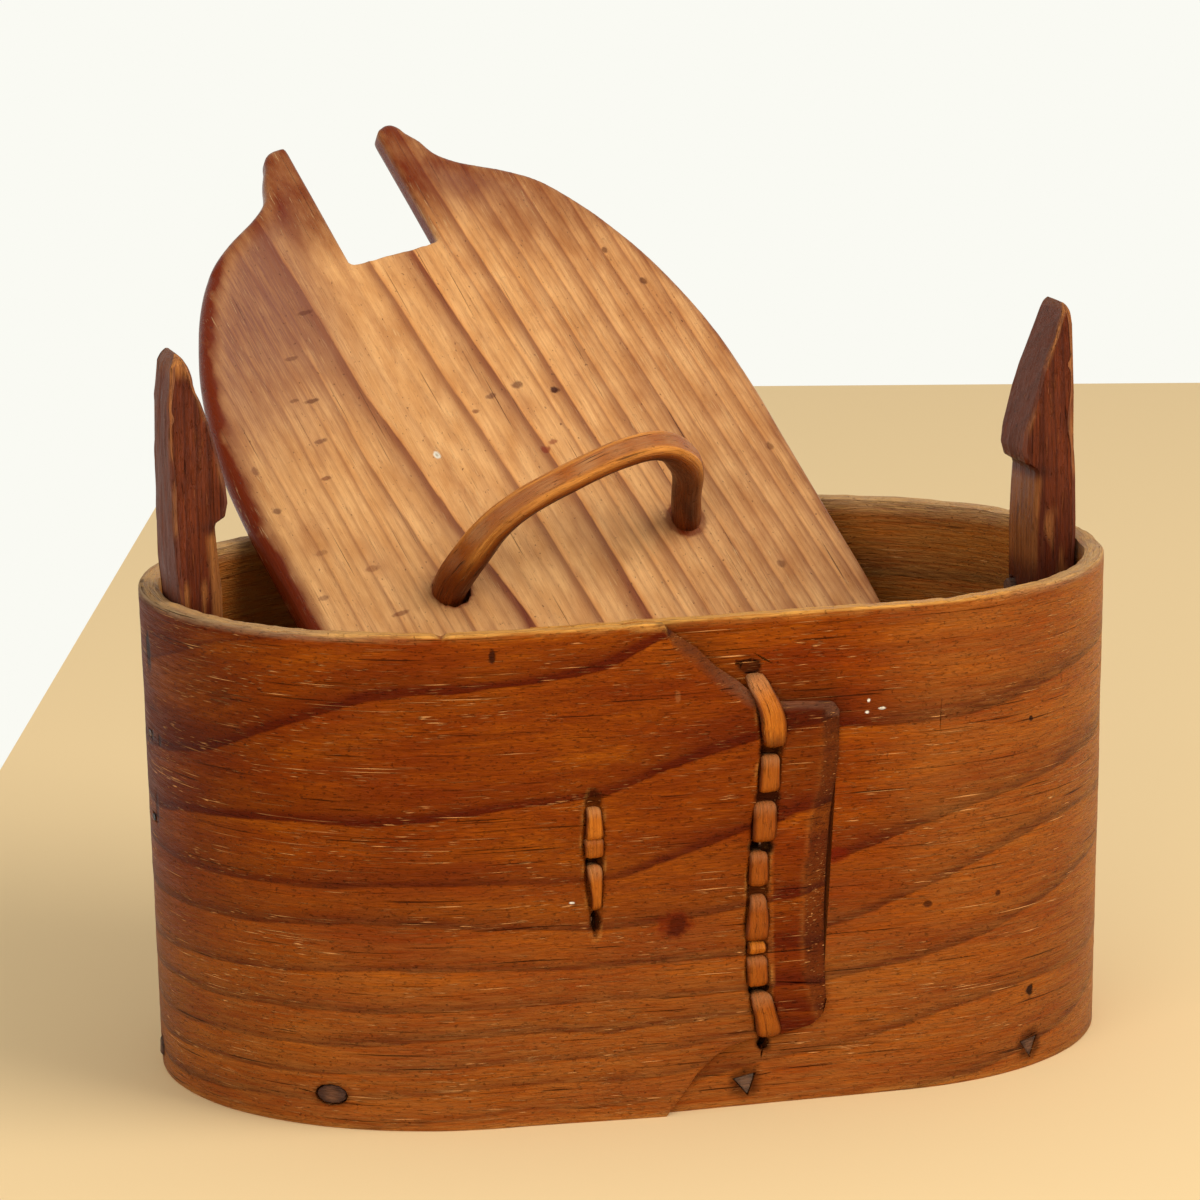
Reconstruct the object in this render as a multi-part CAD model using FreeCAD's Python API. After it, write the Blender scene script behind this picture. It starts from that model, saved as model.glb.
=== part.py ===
"""Norwegian tine box: a bent-wood oval box with two hooked uprights and a notched lid.

Frame: X along the box, Y across it (front wall at -Y), Z up, origin at the middle of the
base, millimetres. The lid is stored standing in the open box and leaning on the back rim.
"""
import math
import os

import FreeCAD
import Part

Vector = FreeCAD.Vector

# ---- driving dimensions, millimetres ----
box_length = 230.0
box_width = 138.0
band_height = 115.0
band_thickness = 4.6
base_draw_in = 2.5            # how much smaller the outline is at the foot than at the rim

lap_layer = 2.8               # thickness of the outer layer where the band overlaps itself
lap_gap = 0.2                 # seam between the two layers
lap_end_x = 32.0              # furthest reach of the outer layer
skive_start_x = -12.0         # both layers are thinned from here ...
skive_end_x = -41.0           # ... to the inner layer's feather edge
skive_edge = 0.6
bevel_width = 4.8             # bevel along the outer layer's upright end
bevel_edge = 1.0              # what the bevel leaves at the very edge

board_bottom = 0.0
board_top = 9.0
board_clearance = 0.15

root_width = 4.8
root_thickness = 1.6
slit_play = 0.12              # play of a root strand in its slit, each side
main_holes = [(102.9, 9.6), (83.5, 12.6), (72.2, 11.4), (60.5, 9.8), (50.6, 9.0),
              (37.0, 9.2), (28.0, 10.2), (13.8, 11.8)]     # height, x
short_holes = [(75.5, -28.2), (64.2, -28.7), (47.3, -28.6)]

peg_height = 5.2
peg_length = 17.0
peg_play = 0.05
# arc length from the middle of the front, extra height, number of whittled sides
base_pegs = [(-162.0, 0.0, 4), (-91.0, 1.0, 8), (7.2, 0.0, 3), (81.5, 0.0, 3),
             (163.0, 0.0, 4), (238.0, 0.0, 3), (309.0, 0.0, 4), (-233.0, 0.0, 3)]
peg_radius = 2.3

upright_top = 171.0
upright_foot = 9.4
upright_inner_half = 8.2      # half-width of the face towards the middle of the box
upright_outer_half = 11.0
upright_taper_z = 120.0       # from here up the stave narrows ...
upright_tip_half = 7.6        # ... to this half-width at its top
upright_peg_z = 101.0
upright_peg_y = 5.0
upright_peg_radius = 2.2
tie_high_z = 82.0
tie_low_z = 62.0
tie_y = 1.3
tie_width = 3.8
moving_play = 0.4             # play between an upright and what passes through it

lid_thickness = 6.0
lid_half_widths = {1: 70.0, -1: 69.2}      # to its left and right edge
lid_straight_half = 31.0
lid_round_reach = 132.0       # where the rounded end would close without its notch
notch_bottom = 96.2
notch_half = 12.3
horn_tips = {(1, 1): 135.8, (1, -1): 134.8, (-1, 1): 134.4, (-1, -1): 134.4}    # by end and side
lid_centre = Vector(-2.5, 41.9, 108.6)
lid_turn = 1.5                # degrees about Z
lid_lean = 45.0               # degrees back from lying flat
lid_spin = 103.8              # degrees in its own plane

handle_radius = 3.7
handle_foot_v = 31.5
handle_far_v = -33.2
handle_below = 3.0            # how far the handle's ends stand out under the lid
handle_hole_radius = 4.5
wedge_thickness = 1.0

# ---- worked out from them ----
end_radius = box_width / 2
straight_half = (box_length - box_width) / 2
full_turn = 4 * straight_half + 2 * math.pi * end_radius


def outer_radius(z):
    """Radius of the rounded ends, and half the width, at a height."""
    return end_radius - base_draw_in * (1 - z / band_height)


def front_point(x, depth, z):
    """Point on the front wall, depth counted outwards from the band's inner face."""
    return Vector(x, -(outer_radius(z) - band_thickness + depth), z)


def line(first, last):
    return Part.LineSegment(first, last).toShape()


def arc(first, middle, last):
    return Part.Arc(first, middle, last).toShape()


def spline(points):
    curve = Part.BSplineCurve()
    curve.interpolate(points)
    return curve.toShape()


def prism(edges, direction):
    return Part.Face(Part.Wire(edges)).extrude(direction)


def stadium(radius, z):
    """Closed oval outline of two straights and two half circles."""
    left = -straight_half
    right = straight_half
    front_left = Vector(left, -radius, z)
    back_left = Vector(left, radius, z)
    back_right = Vector(right, radius, z)
    front_right = Vector(right, -radius, z)
    return Part.Wire([
        arc(front_left, Vector(left - radius, 0, z), back_left),
        line(back_left, back_right),
        arc(back_right, Vector(right + radius, 0, z), front_right),
        line(front_right, front_left),
    ])


def front_block(low, high, width, depth):
    """Block that follows the front wall; low and high are (x, z, depth of its inner face)."""
    wires = []
    for x, z, start in (low, high):
        corners = [front_point(x - width / 2, start, z), front_point(x + width / 2, start, z),
                   front_point(x + width / 2, start + depth, z),
                   front_point(x - width / 2, start + depth, z)]
        wires.append(Part.makePolygon(corners + corners[:1]))
    return Part.makeLoft(wires, True, True)


# ---- band ----
def band_outline(z):
    """The strip's edge as one closed line: round the box once, overlapping at the front."""
    radius = outer_radius(z)
    inner = radius - band_thickness
    left = -straight_half
    right = straight_half
    seam = band_thickness + lap_gap
    lap_face = seam + lap_layer
    front_left = front_point(left, band_thickness, z)
    front_right = front_point(right, band_thickness, z)
    inner_left = front_point(left, 0, z)
    inner_right = front_point(right, 0, z)
    lap_outer = front_point(lap_end_x, lap_face, z)
    lap_outer_start = front_point(skive_start_x, lap_face, z)
    lap_inner = front_point(lap_end_x, seam, z)
    lap_inner_start = front_point(skive_start_x, seam, z)
    under_full = front_point(skive_start_x, band_thickness, z)
    under_tip = front_point(skive_end_x, skive_edge, z)
    under_tip_inner = front_point(skive_end_x, 0, z)
    return Part.Wire([
        line(lap_outer, lap_outer_start),
        line(lap_outer_start, front_left),
        arc(front_left, Vector(left - radius, 0, z), Vector(left, radius, z)),
        line(Vector(left, radius, z), Vector(right, radius, z)),
        arc(Vector(right, radius, z), Vector(right + radius, 0, z), front_right),
        line(front_right, under_full),
        line(under_full, under_tip),
        line(under_tip, under_tip_inner),
        line(under_tip_inner, inner_right),
        arc(inner_right, Vector(right + inner, 0, z), Vector(right, inner, z)),
        line(Vector(right, inner, z), Vector(left, inner, z)),
        arc(Vector(left, inner, z), Vector(left - inner, 0, z), inner_left),
        line(inner_left, lap_inner_start),
        line(lap_inner_start, lap_inner),
        line(lap_inner, lap_outer),
    ])


def lap_trim():
    """All that is whittled away from the outer layer to leave its curved end."""
    def at(x, z):
        return Vector(x, 0, z)
    over = band_height + 5
    beyond = lap_end_x + 10
    upper = [at(-11.5, band_height), at(-4.4, 108.9), at(0, 104.4), at(5.5, 100.3), at(10.5, 95.4)]
    side = [at(29.6, 82.5), at(27.4, 68), at(26.1, 45), at(26.4, 24.4)]
    lower = [at(8.2, 16.8), at(2.6, 15.4), at(-4.8, 9.6), at(-12.0, 0)]
    outline = [
        spline(upper),
        line(upper[-1], at(28.4, 93.8)),
        line(at(28.4, 93.8), at(29.6, 91.8)),
        line(at(29.6, 91.8), side[0]),
        spline(side),
        line(side[-1], at(23.9, 19.8)),
        line(at(23.9, 19.8), lower[0]),
        spline(lower),
        line(lower[-1], at(-12, -5)),
        line(at(-12, -5), at(beyond, -5)),
        line(at(beyond, -5), at(beyond, over)),
        line(at(beyond, over), at(-11.5, over)),
        line(at(-11.5, over), upper[0]),
    ]
    region = prism(outline, Vector(0, -end_radius - 20, 0))
    seam = band_thickness + lap_gap / 2
    low = front_point(-30, seam, -5)
    high = front_point(-30, seam, over)
    outside = -end_radius - 15
    corners = [low, high, Vector(-30, outside, over), Vector(-30, outside, -5)]
    slab = Part.Face(Part.makePolygon(corners + corners[:1]))
    return region.common(slab.extrude(Vector(beyond + 40, 0, 0)))


def lap_bevel():
    """Wedge shaved off the upright end of the outer layer."""
    seam = band_thickness + lap_gap
    full = seam + lap_layer
    slope = (lap_layer - bevel_edge) / bevel_width
    wires = []
    for x, z in ((21.3, 8), (26.6, 98)):
        far = x + 3 * bevel_width
        corners = [front_point(x, full, z), front_point(far, full - 3 * bevel_width * slope, z),
                   front_point(far, full + 3, z), front_point(x, full + 3, z)]
        wires.append(Part.makePolygon(corners + corners[:1]))
    return Part.makeLoft(wires, True, True)


def lap_depth(x):
    """Depth of the outer face where the layers overlap, from the band's inner face."""
    share = (x + straight_half) / (skive_start_x + straight_half)
    return band_thickness + (lap_layer + lap_gap) * min(max(share, 0.0), 1.0)


def face_depth(x, z):
    """Depth under a strand of whatever is outermost: the lap, or the single layer beyond it."""
    on_lap = 16.0 < z < 97.0
    return lap_depth(x + root_width / 2) if on_lap else band_thickness


def through_slit(x, z, play):
    """The opening, or the strand, that runs through the wall at one hole."""
    half = root_thickness / 2 + play
    low = (x, z - half, -0.4 - 4 * play)
    high = (x, z + half, -0.4 - 4 * play)
    return front_block(low, high, root_width - 0.6 + 2 * play, face_depth(x, z) + 0.75 + 8 * play)


def stitch(low, high, depth):
    """One outer stitch between two (x, z) points: rounded over, and sinking at both ends."""
    half = root_width / 2
    length = high[1] - low[1]
    wires = []
    for along, rise in ((0.0, 0.35), (1.3, 1.0), (length - 1.3, 1.0), (length, 0.35)):
        x = low[0] + (high[0] - low[0]) * along / length
        tall = root_thickness * rise
        section = [(-half, 0), (-half, tall * 0.5), (1.2 - half, tall),
                   (half - 1.2, tall), (half, tall * 0.5), (half, 0)]
        corners = [front_point(x + across, depth + up, low[1] + along) for across, up in section]
        wires.append(Part.makePolygon(corners + corners[:1]))
    return Part.makeLoft(wires, True, True)


def lacing(holes):
    """A root strand: stitches outside and inside, joined through the wall at each hole."""
    strand = [through_slit(x, z, 0) for z, x in holes]
    for (z_high, x_high), (z_low, x_low) in zip(holes, holes[1:]):
        high_depth = face_depth(x_high, z_high)
        low_depth = face_depth(x_low, z_low)
        top = max(high_depth, low_depth) + 0.1
        strand.append(stitch((x_low, z_low + 0.5), (x_high, z_high - 0.5), top))
        if abs(high_depth - low_depth) > 1:        # a stitch that climbs over the lap's edge
            x, z = (x_high, z_high - 1.1) if high_depth < low_depth else (x_low, z_low + 1.1)
            strand.append(front_block((x, z - 0.8, band_thickness), (x, z + 0.8, band_thickness),
                                      root_width - 0.6, top - band_thickness + 0.4))
        foot = (x_low, z_low - 0.4, -root_thickness)
        head = (x_high, z_high + 0.4, -root_thickness)
        strand.append(front_block(foot, head, root_width, root_thickness - 0.1))
    return strand[0].multiFuse(strand[1:]).removeSplitter()


# ---- pegs round the foot ----
def wall_place(distance, z):
    """Point and outward direction on the outer face, at a distance round the box from the
    middle of the front, positive towards +X."""
    radius = outer_radius(z)
    scale = full_turn / (4 * straight_half + 2 * math.pi * radius)
    run = (distance / scale) % (full_turn / scale)
    half_circle = math.pi * radius
    if run <= straight_half:
        return Vector(run, -radius, z), Vector(0, -1, 0)
    run -= straight_half
    if run <= half_circle:
        angle = run / radius - math.pi / 2
        out = Vector(math.cos(angle), math.sin(angle), 0)
        return Vector(straight_half, 0, z) + out * radius, out
    run -= half_circle
    if run <= 2 * straight_half:
        return Vector(straight_half - run, radius, z), Vector(0, 1, 0)
    run -= 2 * straight_half
    if run <= half_circle:
        angle = run / radius + math.pi / 2
        out = Vector(math.cos(angle), math.sin(angle), 0)
        return Vector(-straight_half, 0, z) + out * radius, out
    run -= half_circle
    return Vector(run - straight_half, -radius, z), Vector(0, -1, 0)


def whittled_peg(distance, extra_height, sides, play):
    """Prism driven in from outside; its head is level with the band's outer face."""
    place, out = wall_place(distance, peg_height + extra_height)
    across = Vector(-out.y, out.x, 0)
    radius = peg_radius + play
    head = place + out * (0.3 + 20 * play)
    corners = []
    for index in range(sides):
        angle = 2 * math.pi * (index + 0.5) / sides - math.pi / 2
        corners.append(head + across * (radius * math.cos(angle)) + Vector(0, 0, radius * math.sin(angle)))
    return prism([line(a, b) for a, b in zip(corners, corners[1:] + corners[:1])],
                 out * -(peg_length + 25 * play))


# ---- uprights ----
def upright(side):
    """Split stave standing inside one end of the band, with a hook that faces the middle."""
    def at(x, z):
        return Vector(side * x, -15, z)
    foot_in = at(98.4, upright_foot)
    foot_out = at(106.4, upright_foot)
    throat = [at(98.4, 116), at(99.8, 131.6)]
    beak = [at(99.8, 131.6), at(97.6, 133.2), at(96.7, 136.4), at(97.1, 140.5)]
    slope = [at(97.1, 140.5), at(100.5, 155), at(104.7, 168.2)]
    top = [at(104.7, 168.2), at(106.4, upright_top), at(108.1, 167.4)]
    profile = [
        line(foot_in, throat[0]),
        line(throat[0], throat[1]),
        spline(beak),
        line(slope[0], slope[1]),
        line(slope[1], slope[2]),
        arc(top[0], top[1], top[2]),
        line(top[2], at(108.3, 120)),
        line(at(108.3, 120), foot_out),
        line(foot_out, foot_in),
    ]
    side_view = prism(profile, Vector(0, 30, 0))
    inner_x = side * 96.0
    outer_x = side * 107.5
    bottom = 0.0
    plan = [
        line(Vector(inner_x, upright_inner_half, bottom), Vector(inner_x, -upright_inner_half, bottom)),
        line(Vector(inner_x, -upright_inner_half, bottom), Vector(outer_x, -upright_outer_half, bottom)),
        arc(Vector(outer_x, -upright_outer_half, bottom), Vector(outer_x + side, 0, bottom),
            Vector(outer_x, upright_outer_half, bottom)),
        line(Vector(outer_x, upright_outer_half, bottom), Vector(inner_x, upright_inner_half, bottom)),
    ]
    stave = side_view.common(prism(plan, Vector(0, 0, upright_top + 5)))
    wide = upright_outer_half + 1
    narrowing = (upright_outer_half - upright_tip_half) / (upright_top - upright_taper_z)
    at_end = [(wide, 0), (wide, upright_taper_z - (wide - upright_outer_half) / narrowing),
              (upright_tip_half, upright_top), (upright_tip_half, upright_top + 5)]
    front = at_end + [(-y, z) for y, z in reversed(at_end)]
    corners = [Vector(side * 90, y, z) for y, z in front]
    face = Part.Face(Part.makePolygon(corners + corners[:1]))
    return stave.common(face.extrude(Vector(side * 25, 0, 0)))


def upright_peg(side, play):
    """Round peg through the band and the upright, along X."""
    radius = upright_peg_radius + play
    start = Vector(side * 96.6, upright_peg_y, upright_peg_z)
    reach = math.sqrt(outer_radius(upright_peg_z) ** 2 - upright_peg_y ** 2)
    length = straight_half + reach + 0.1 + 10 * play - 96.6
    return Part.makeCylinder(radius, length, start, Vector(side, 0, 0))


def tie_pass(side, z, play):
    """Where the root tie runs through the band and the upright, along X."""
    height = root_thickness + 2 * play
    width = tie_width + 2 * play
    start = 96.6 - 4 * play
    length = 115.2 - base_draw_in * (1 - z / band_height) - start + 4 * play
    block = Part.makeBox(length, width, height, Vector(0, tie_y - width / 2, z - height / 2))
    if side < 0:
        return block.translated(Vector(-start - length, 0, 0))
    return block.translated(Vector(start, 0, 0))


def root_tie(side):
    """Root strand through the wall above, down the upright's inner face and out below."""
    inner_low = 96.6
    height = tie_high_z - tie_low_z
    x = inner_low if side > 0 else -inner_low - 1.4
    run = Part.makeBox(1.4, tie_width, height, Vector(x, tie_y - tie_width / 2, tie_low_z))
    parts = [tie_pass(side, tie_high_z, 0), tie_pass(side, tie_low_z, 0)]
    return run.multiFuse(parts).removeSplitter()


# ---- lid, drawn flat with its top face at z = 0, then put in place ----
def lid_side(end, side):
    """Outline from the middle of one long edge to the notch at one end."""
    def at(u, v):
        return Vector(end * u, side * v, 0)
    reach = lid_round_reach - lid_straight_half
    half_width = lid_half_widths[side]
    horn_tip = horn_tips[end, side]

    def on_round(u):
        return half_width * math.sqrt(1 - ((u - lid_straight_half) / reach) ** 2)
    shoulder = [at(u, on_round(u)) for u in (lid_straight_half, 52, 74, 90, 100)]
    shoulder += [at(107, 45.4), at(112.4, 38.4), at(118.4, 28.2)]
    neck = [shoulder[-1], at(122.3, 24.0), at(127.5, 21.8), at(horn_tip - 4, 19.4)]
    tip = at(horn_tip, 15.4)
    return [
        line(at(0, half_width), shoulder[0]),
        spline(shoulder),
        spline(neck),
        arc(neck[-1], tip, at(horn_tip - 0.6, notch_half)),
        line(at(horn_tip - 0.6, notch_half), at(notch_bottom, notch_half)),
    ]


def lid_outline():
    edges = []
    for end in (1, -1):
        edges += lid_side(end, 1)
        edges += lid_side(end, -1)
        edges.append(line(Vector(end * notch_bottom, notch_half, 0),
                          Vector(end * notch_bottom, -notch_half, 0)))
    return Part.Wire(Part.__sortEdges__(edges))


def lid_board():
    board = Part.Face(lid_outline()).extrude(Vector(0, 0, -lid_thickness))
    for v in (handle_foot_v, handle_far_v):
        start = Vector(0, v, -lid_thickness - 1)
        board = board.cut(Part.makeCylinder(handle_hole_radius, lid_thickness + 2, start))
    return board


def handle_path():
    """Middle line of the bent branch, across the lid; each corner is rounded to its radius."""
    corners = [(handle_foot_v + 0.8, -lid_thickness - handle_below, 0), (29.6, 13.0, 26), (18.5, 32.0, 34),
               (-14.5, 42.5, 13), (-28.6, 28.0, 26), (handle_far_v - 0.8, -lid_thickness - handle_below, 0)]
    points = [Vector(0, v, n) for v, n, _ in corners]
    edges = []
    current = points[0]
    for before, corner, after, (_, _, radius) in zip(points, points[1:], points[2:], corners[1:]):
        inward = (before - corner).normalize()
        onward = (after - corner).normalize()
        half = inward.getAngle(onward) / 2
        reach = radius / math.tan(half)
        bisector = (inward + onward).normalize()
        middle = corner + bisector * (radius / math.sin(half) - radius)
        start = corner + inward * reach
        edges.append(line(current, start))
        edges.append(arc(start, middle, corner + onward * reach))
        current = corner + onward * reach
    edges.append(line(current, points[-1]))
    return edges


def wedge_place(foot):
    """Wedge driven into one end of the handle from under the lid."""
    return Vector(-handle_radius, foot - wedge_thickness / 2, -lid_thickness - handle_below)


def lid_handle():
    path = Part.Wire(handle_path())
    start = path.Edges[0].Vertexes[0].Point
    direction = path.Edges[0].tangentAt(path.Edges[0].FirstParameter)
    ring = Part.Wire([Part.Circle(start, direction, handle_radius).toShape()])
    branch = path.makePipeShell([ring], True, True)
    for foot in (handle_foot_v, handle_far_v):
        corner = wedge_place(foot) - Vector(2, 0.1, 2)
        branch = branch.cut(Part.makeBox(2 * handle_radius + 4, wedge_thickness + 0.2, 8.1, corner))
    return branch


def handle_wedge(foot):
    return Part.makeBox(2 * handle_radius, wedge_thickness, 6.0, wedge_place(foot))


def put_lid(shape):
    """Lean a shape drawn on the flat lid into the lid's stored place."""
    turn = FreeCAD.Rotation(Vector(0, 0, 1), lid_turn)
    lean = FreeCAD.Rotation(Vector(1, 0, 0), lid_lean)
    spin = FreeCAD.Rotation(Vector(0, 0, 1), lid_spin)
    placed = shape.copy()
    placed.Placement = FreeCAD.Placement(lid_centre, turn * lean * spin)
    return placed


def build():
    parts = {}
    band = Part.makeLoft([band_outline(0), band_outline(band_height)], True, True)
    band = band.cut(lap_trim()).cut(lap_bevel())
    board = Part.makeLoft([stadium(outer_radius(z) - band_thickness - board_clearance, z)
                           for z in (board_bottom, board_top)], True, True)
    holes = [through_slit(x, z, slit_play) for z, x in main_holes + short_holes]
    for index, (distance, extra, sides) in enumerate(base_pegs, 1):
        parts[f"base_peg_{index}"] = whittled_peg(distance, extra, sides, 0)
        hole = whittled_peg(distance, extra, sides, peg_play)
        holes.append(hole)
        board = board.cut(hole)
    for side, name in ((-1, "left"), (1, "right")):
        stave = upright(side)
        openings = [upright_peg(side, moving_play)]
        openings += [tie_pass(side, z, moving_play) for z in (tie_high_z, tie_low_z)]
        parts[f"{name}_upright"] = stave.cut(openings)
        parts[f"{name}_upright_peg"] = upright_peg(side, 0)
        parts[f"{name}_root_tie"] = root_tie(side)
        holes.append(upright_peg(side, peg_play))
        holes += [tie_pass(side, z, slit_play) for z in (tie_high_z, tie_low_z)]
    parts["side_band"] = band.cut(holes)
    parts["bottom_board"] = board
    parts["main_lacing"] = lacing(main_holes)
    parts["short_lacing"] = lacing(short_holes)
    parts["lid_board"] = put_lid(lid_board())
    parts["lid_handle"] = put_lid(lid_handle())
    parts["handle_wedge_left"] = put_lid(handle_wedge(handle_foot_v))
    parts["handle_wedge_right"] = put_lid(handle_wedge(handle_far_v))
    return parts


os.makedirs("parts", exist_ok=True)
for node, shape in build().items():
    solids = shape.Solids
    print(f"{node}: {len(solids)} solid, {shape.Volume:.0f} mm3, valid {shape.isValid()}")
    shape.exportStep(f"parts/{node}.step")
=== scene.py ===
import functools
import math
import bpy
from mathutils import Matrix, Vector, kdtree, noise


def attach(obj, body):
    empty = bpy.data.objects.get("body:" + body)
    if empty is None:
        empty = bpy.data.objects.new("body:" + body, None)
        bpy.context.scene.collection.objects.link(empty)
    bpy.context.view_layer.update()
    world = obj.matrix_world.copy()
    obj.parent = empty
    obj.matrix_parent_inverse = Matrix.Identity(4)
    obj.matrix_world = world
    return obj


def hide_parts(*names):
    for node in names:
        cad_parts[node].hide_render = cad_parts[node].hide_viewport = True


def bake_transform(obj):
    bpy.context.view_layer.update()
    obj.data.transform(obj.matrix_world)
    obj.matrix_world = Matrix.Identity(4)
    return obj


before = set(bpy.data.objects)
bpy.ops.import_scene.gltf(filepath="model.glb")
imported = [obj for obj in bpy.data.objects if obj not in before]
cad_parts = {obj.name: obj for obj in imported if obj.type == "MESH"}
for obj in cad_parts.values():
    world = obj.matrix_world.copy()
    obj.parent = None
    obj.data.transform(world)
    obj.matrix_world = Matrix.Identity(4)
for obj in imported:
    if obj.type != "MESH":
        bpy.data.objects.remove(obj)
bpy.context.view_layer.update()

mm = 0.001

# the box: an oval of two straights and two half circles, a little smaller at the foot (all in mm)
box = {
    "height": 115.0,
    "straight": 46.0,        # half of one straight
    "endRadius": 69.0,
    "drawIn": 2.5,
    "wall": 4.6,
    "lapSeam": 4.75,         # depth where the outer layer of the lap starts
    "lapFace": 7.6,          # depth of the lap's outer face
    "lapStarts": -46.0,
    "thinFrom": -12.0,
    "thinTo": -41.0,
}
roundTrip = 4 * box["straight"] + 2 * math.pi * box["endRadius"]


def dropSelection():
    if bpy.context.object and bpy.context.object.mode != "OBJECT":
        bpy.ops.object.mode_set(mode="OBJECT")
    bpy.ops.object.select_all(action="DESELECT")


def pickOnly(piece):
    dropSelection()
    piece.select_set(True)
    bpy.context.view_layer.objects.active = piece


def smoothStep(low, high, value):
    share = min(max((value - low) / (high - low), 0.0), 1.0)
    return share * share * (3 - 2 * share)


def curveAt(knots, x):
    # smooth value at x through (place, value) pairs
    last = len(knots) - 1
    if x <= knots[0][0]:
        return knots[0][1]
    if x >= knots[last][0]:
        return knots[last][1]
    i = 0
    while x > knots[i + 1][0]:
        i += 1
    slopes = []
    for j in (i, i + 1):
        before, after = max(j - 1, 0), min(j + 1, last)
        slopes.append((knots[after][1] - knots[before][1]) / (knots[after][0] - knots[before][0]))
    x0, y0 = knots[i]
    x1, y1 = knots[i + 1]
    wide = x1 - x0
    t = (x - x0) / wide
    return ((2 * t ** 3 - 3 * t ** 2 + 1) * y0 + (t ** 3 - 2 * t ** 2 + t) * wide * slopes[0]
            + (3 * t ** 2 - 2 * t ** 3) * y1 + (t ** 3 - t ** 2) * wide * slopes[1])


def rough(x, y, z, size, seed=0):
    # soft unevenness between -1 and 1, with bumps about size mm across
    return noise.noise(Vector((x / size + seed * 17.3, y / size - seed * 5.1, z / size + seed)))


def smoothPath(points, step):
    # points about step apart on a smooth line through the given ones
    run = [0.0]
    for a, b in zip(points, points[1:]):
        run.append(run[-1] + math.dist(a, b))
    count = max(round(run[-1] / step), 2)
    lines = [[(place, point[k]) for place, point in zip(run, points)] for k in range(len(points[0]))]
    return [tuple(curveAt(line, run[-1] * i / count) for line in lines) for i in range(count + 1)]


def storeMarks(piece, rows):
    # rows of place in the wood, (ring, strength of its line, ring width in mm) and (wear and painted light, dirt and
    # painted shade, grey)
    for k, name in enumerate(("place", "rings", "marks")):
        layer = piece.data.attributes.new(name, "FLOAT_VECTOR", "POINT")
        layer.data.foreach_set("vector", [number for row in rows for number in row[k]])


def markSurface(piece, surface):
    storeMarks(piece, [surface(*(corner.co / mm)) for corner in piece.data.vertices])


def gridSkin(name, across, up, place):
    # a grid primitive whose corners (i, j) are moved to place(i, j), in mm, which may add the corner's marks
    dropSelection()
    bpy.ops.mesh.primitive_grid_add(x_subdivisions=across, y_subdivisions=up, size=2)
    piece = bpy.context.object
    piece.name = name
    rows = []
    for corner in piece.data.vertices:
        i = round((corner.co.x + 1) / 2 * across)
        j = round((corner.co.y + 1) / 2 * up)
        found = place(i, j)
        if len(found) > 3:
            rows.append(found[1:])
            found = found[0]
        corner.co = Vector(found) * mm
    if rows:
        storeMarks(piece, rows)
    return piece


def closeSkin(piece):
    # joins the seam of a rolled-up grid, closes its open ends and turns its faces outwards
    pickOnly(piece)
    bpy.ops.object.mode_set(mode="EDIT")
    bpy.ops.mesh.select_all(action="SELECT")
    bpy.ops.mesh.remove_doubles(threshold=0.00001)
    bpy.ops.mesh.fill_holes(sides=0)
    bpy.ops.mesh.select_all(action="SELECT")
    bpy.ops.mesh.normals_make_consistent(inside=False)
    bpy.ops.object.mode_set(mode="OBJECT")


def sweep(name, path, wide, section, around=20):
    # a closed skin along a path: section(share, travelled, angle) gives its reach sideways and outwards,
    # then the rings and marks there
    points = [Vector(point) for point in path]
    last = len(points) - 1
    frames, travelled = [], 0.0
    for j, point in enumerate(points):
        heading = (points[min(j + 1, last)] - points[max(j - 1, 0)]).normalized()
        side = (wide - heading * wide.dot(heading)).normalized()
        travelled += (point - points[j - 1]).length if j else 0.0
        frames.append((point, side, heading.cross(side), travelled))

    def place(i, j):
        point, side, out, travelled = frames[j]
        a, b, rings, marks = section(j / last, travelled, 2 * math.pi * (i % around) / around)
        return point + side * a + out * b, (travelled, a, b), rings, marks

    skin = gridSkin(name, around, last, place)
    closeSkin(skin)
    return skin


def applyModifier(piece, kind, settings):
    pickOnly(piece)
    step = piece.modifiers.new(kind.lower(), kind)
    for key, value in settings.items():
        setattr(step, key, value)
    bpy.ops.object.modifier_apply(modifier=step.name)


def joinPieces(name, pieces):
    dropSelection()
    for piece in pieces:
        piece.select_set(True)
    bpy.context.view_layer.objects.active = pieces[0]
    if len(pieces) > 1:
        bpy.ops.object.join()
    joined = bpy.context.object
    joined.name = name
    return joined


def cutAway(piece, cutters):
    cutter = joinPieces("cutter", cutters)
    applyModifier(piece, "BOOLEAN", {"object": cutter, "operation": "DIFFERENCE", "solver": "FAST"})
    bpy.data.objects.remove(cutter)


def coverPiece(piece, material, angle):
    pickOnly(piece)
    piece.data.materials.clear()
    piece.data.materials.append(material)
    bpy.ops.object.shade_smooth_by_angle(angle=math.radians(angle))


def finishPiece(piece, material, body, nodes, angle=35):
    coverPiece(piece, material, angle)
    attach(piece, body)
    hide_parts(*nodes)
    dropSelection()


# places on the wall: s runs round the box from the middle of the front, depth out from the inner face
def outerRadius(z):
    return box["endRadius"] - box["drawIn"] * (1 - z / box["height"])


def wallPoint(s, depth, z):
    radius = outerRadius(z) - box["wall"] + depth
    s = (s + roundTrip / 2) % roundTrip - roundTrip / 2
    side = 1 if s >= 0 else -1
    run = abs(s) - box["straight"]
    if run <= 0:
        return (s, -radius, z)
    turn = run / box["endRadius"]
    if turn <= math.pi:
        return (side * (box["straight"] + radius * math.sin(turn)), -radius * math.cos(turn), z)
    return (side * (box["straight"] - run + math.pi * box["endRadius"]), radius, z)


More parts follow.
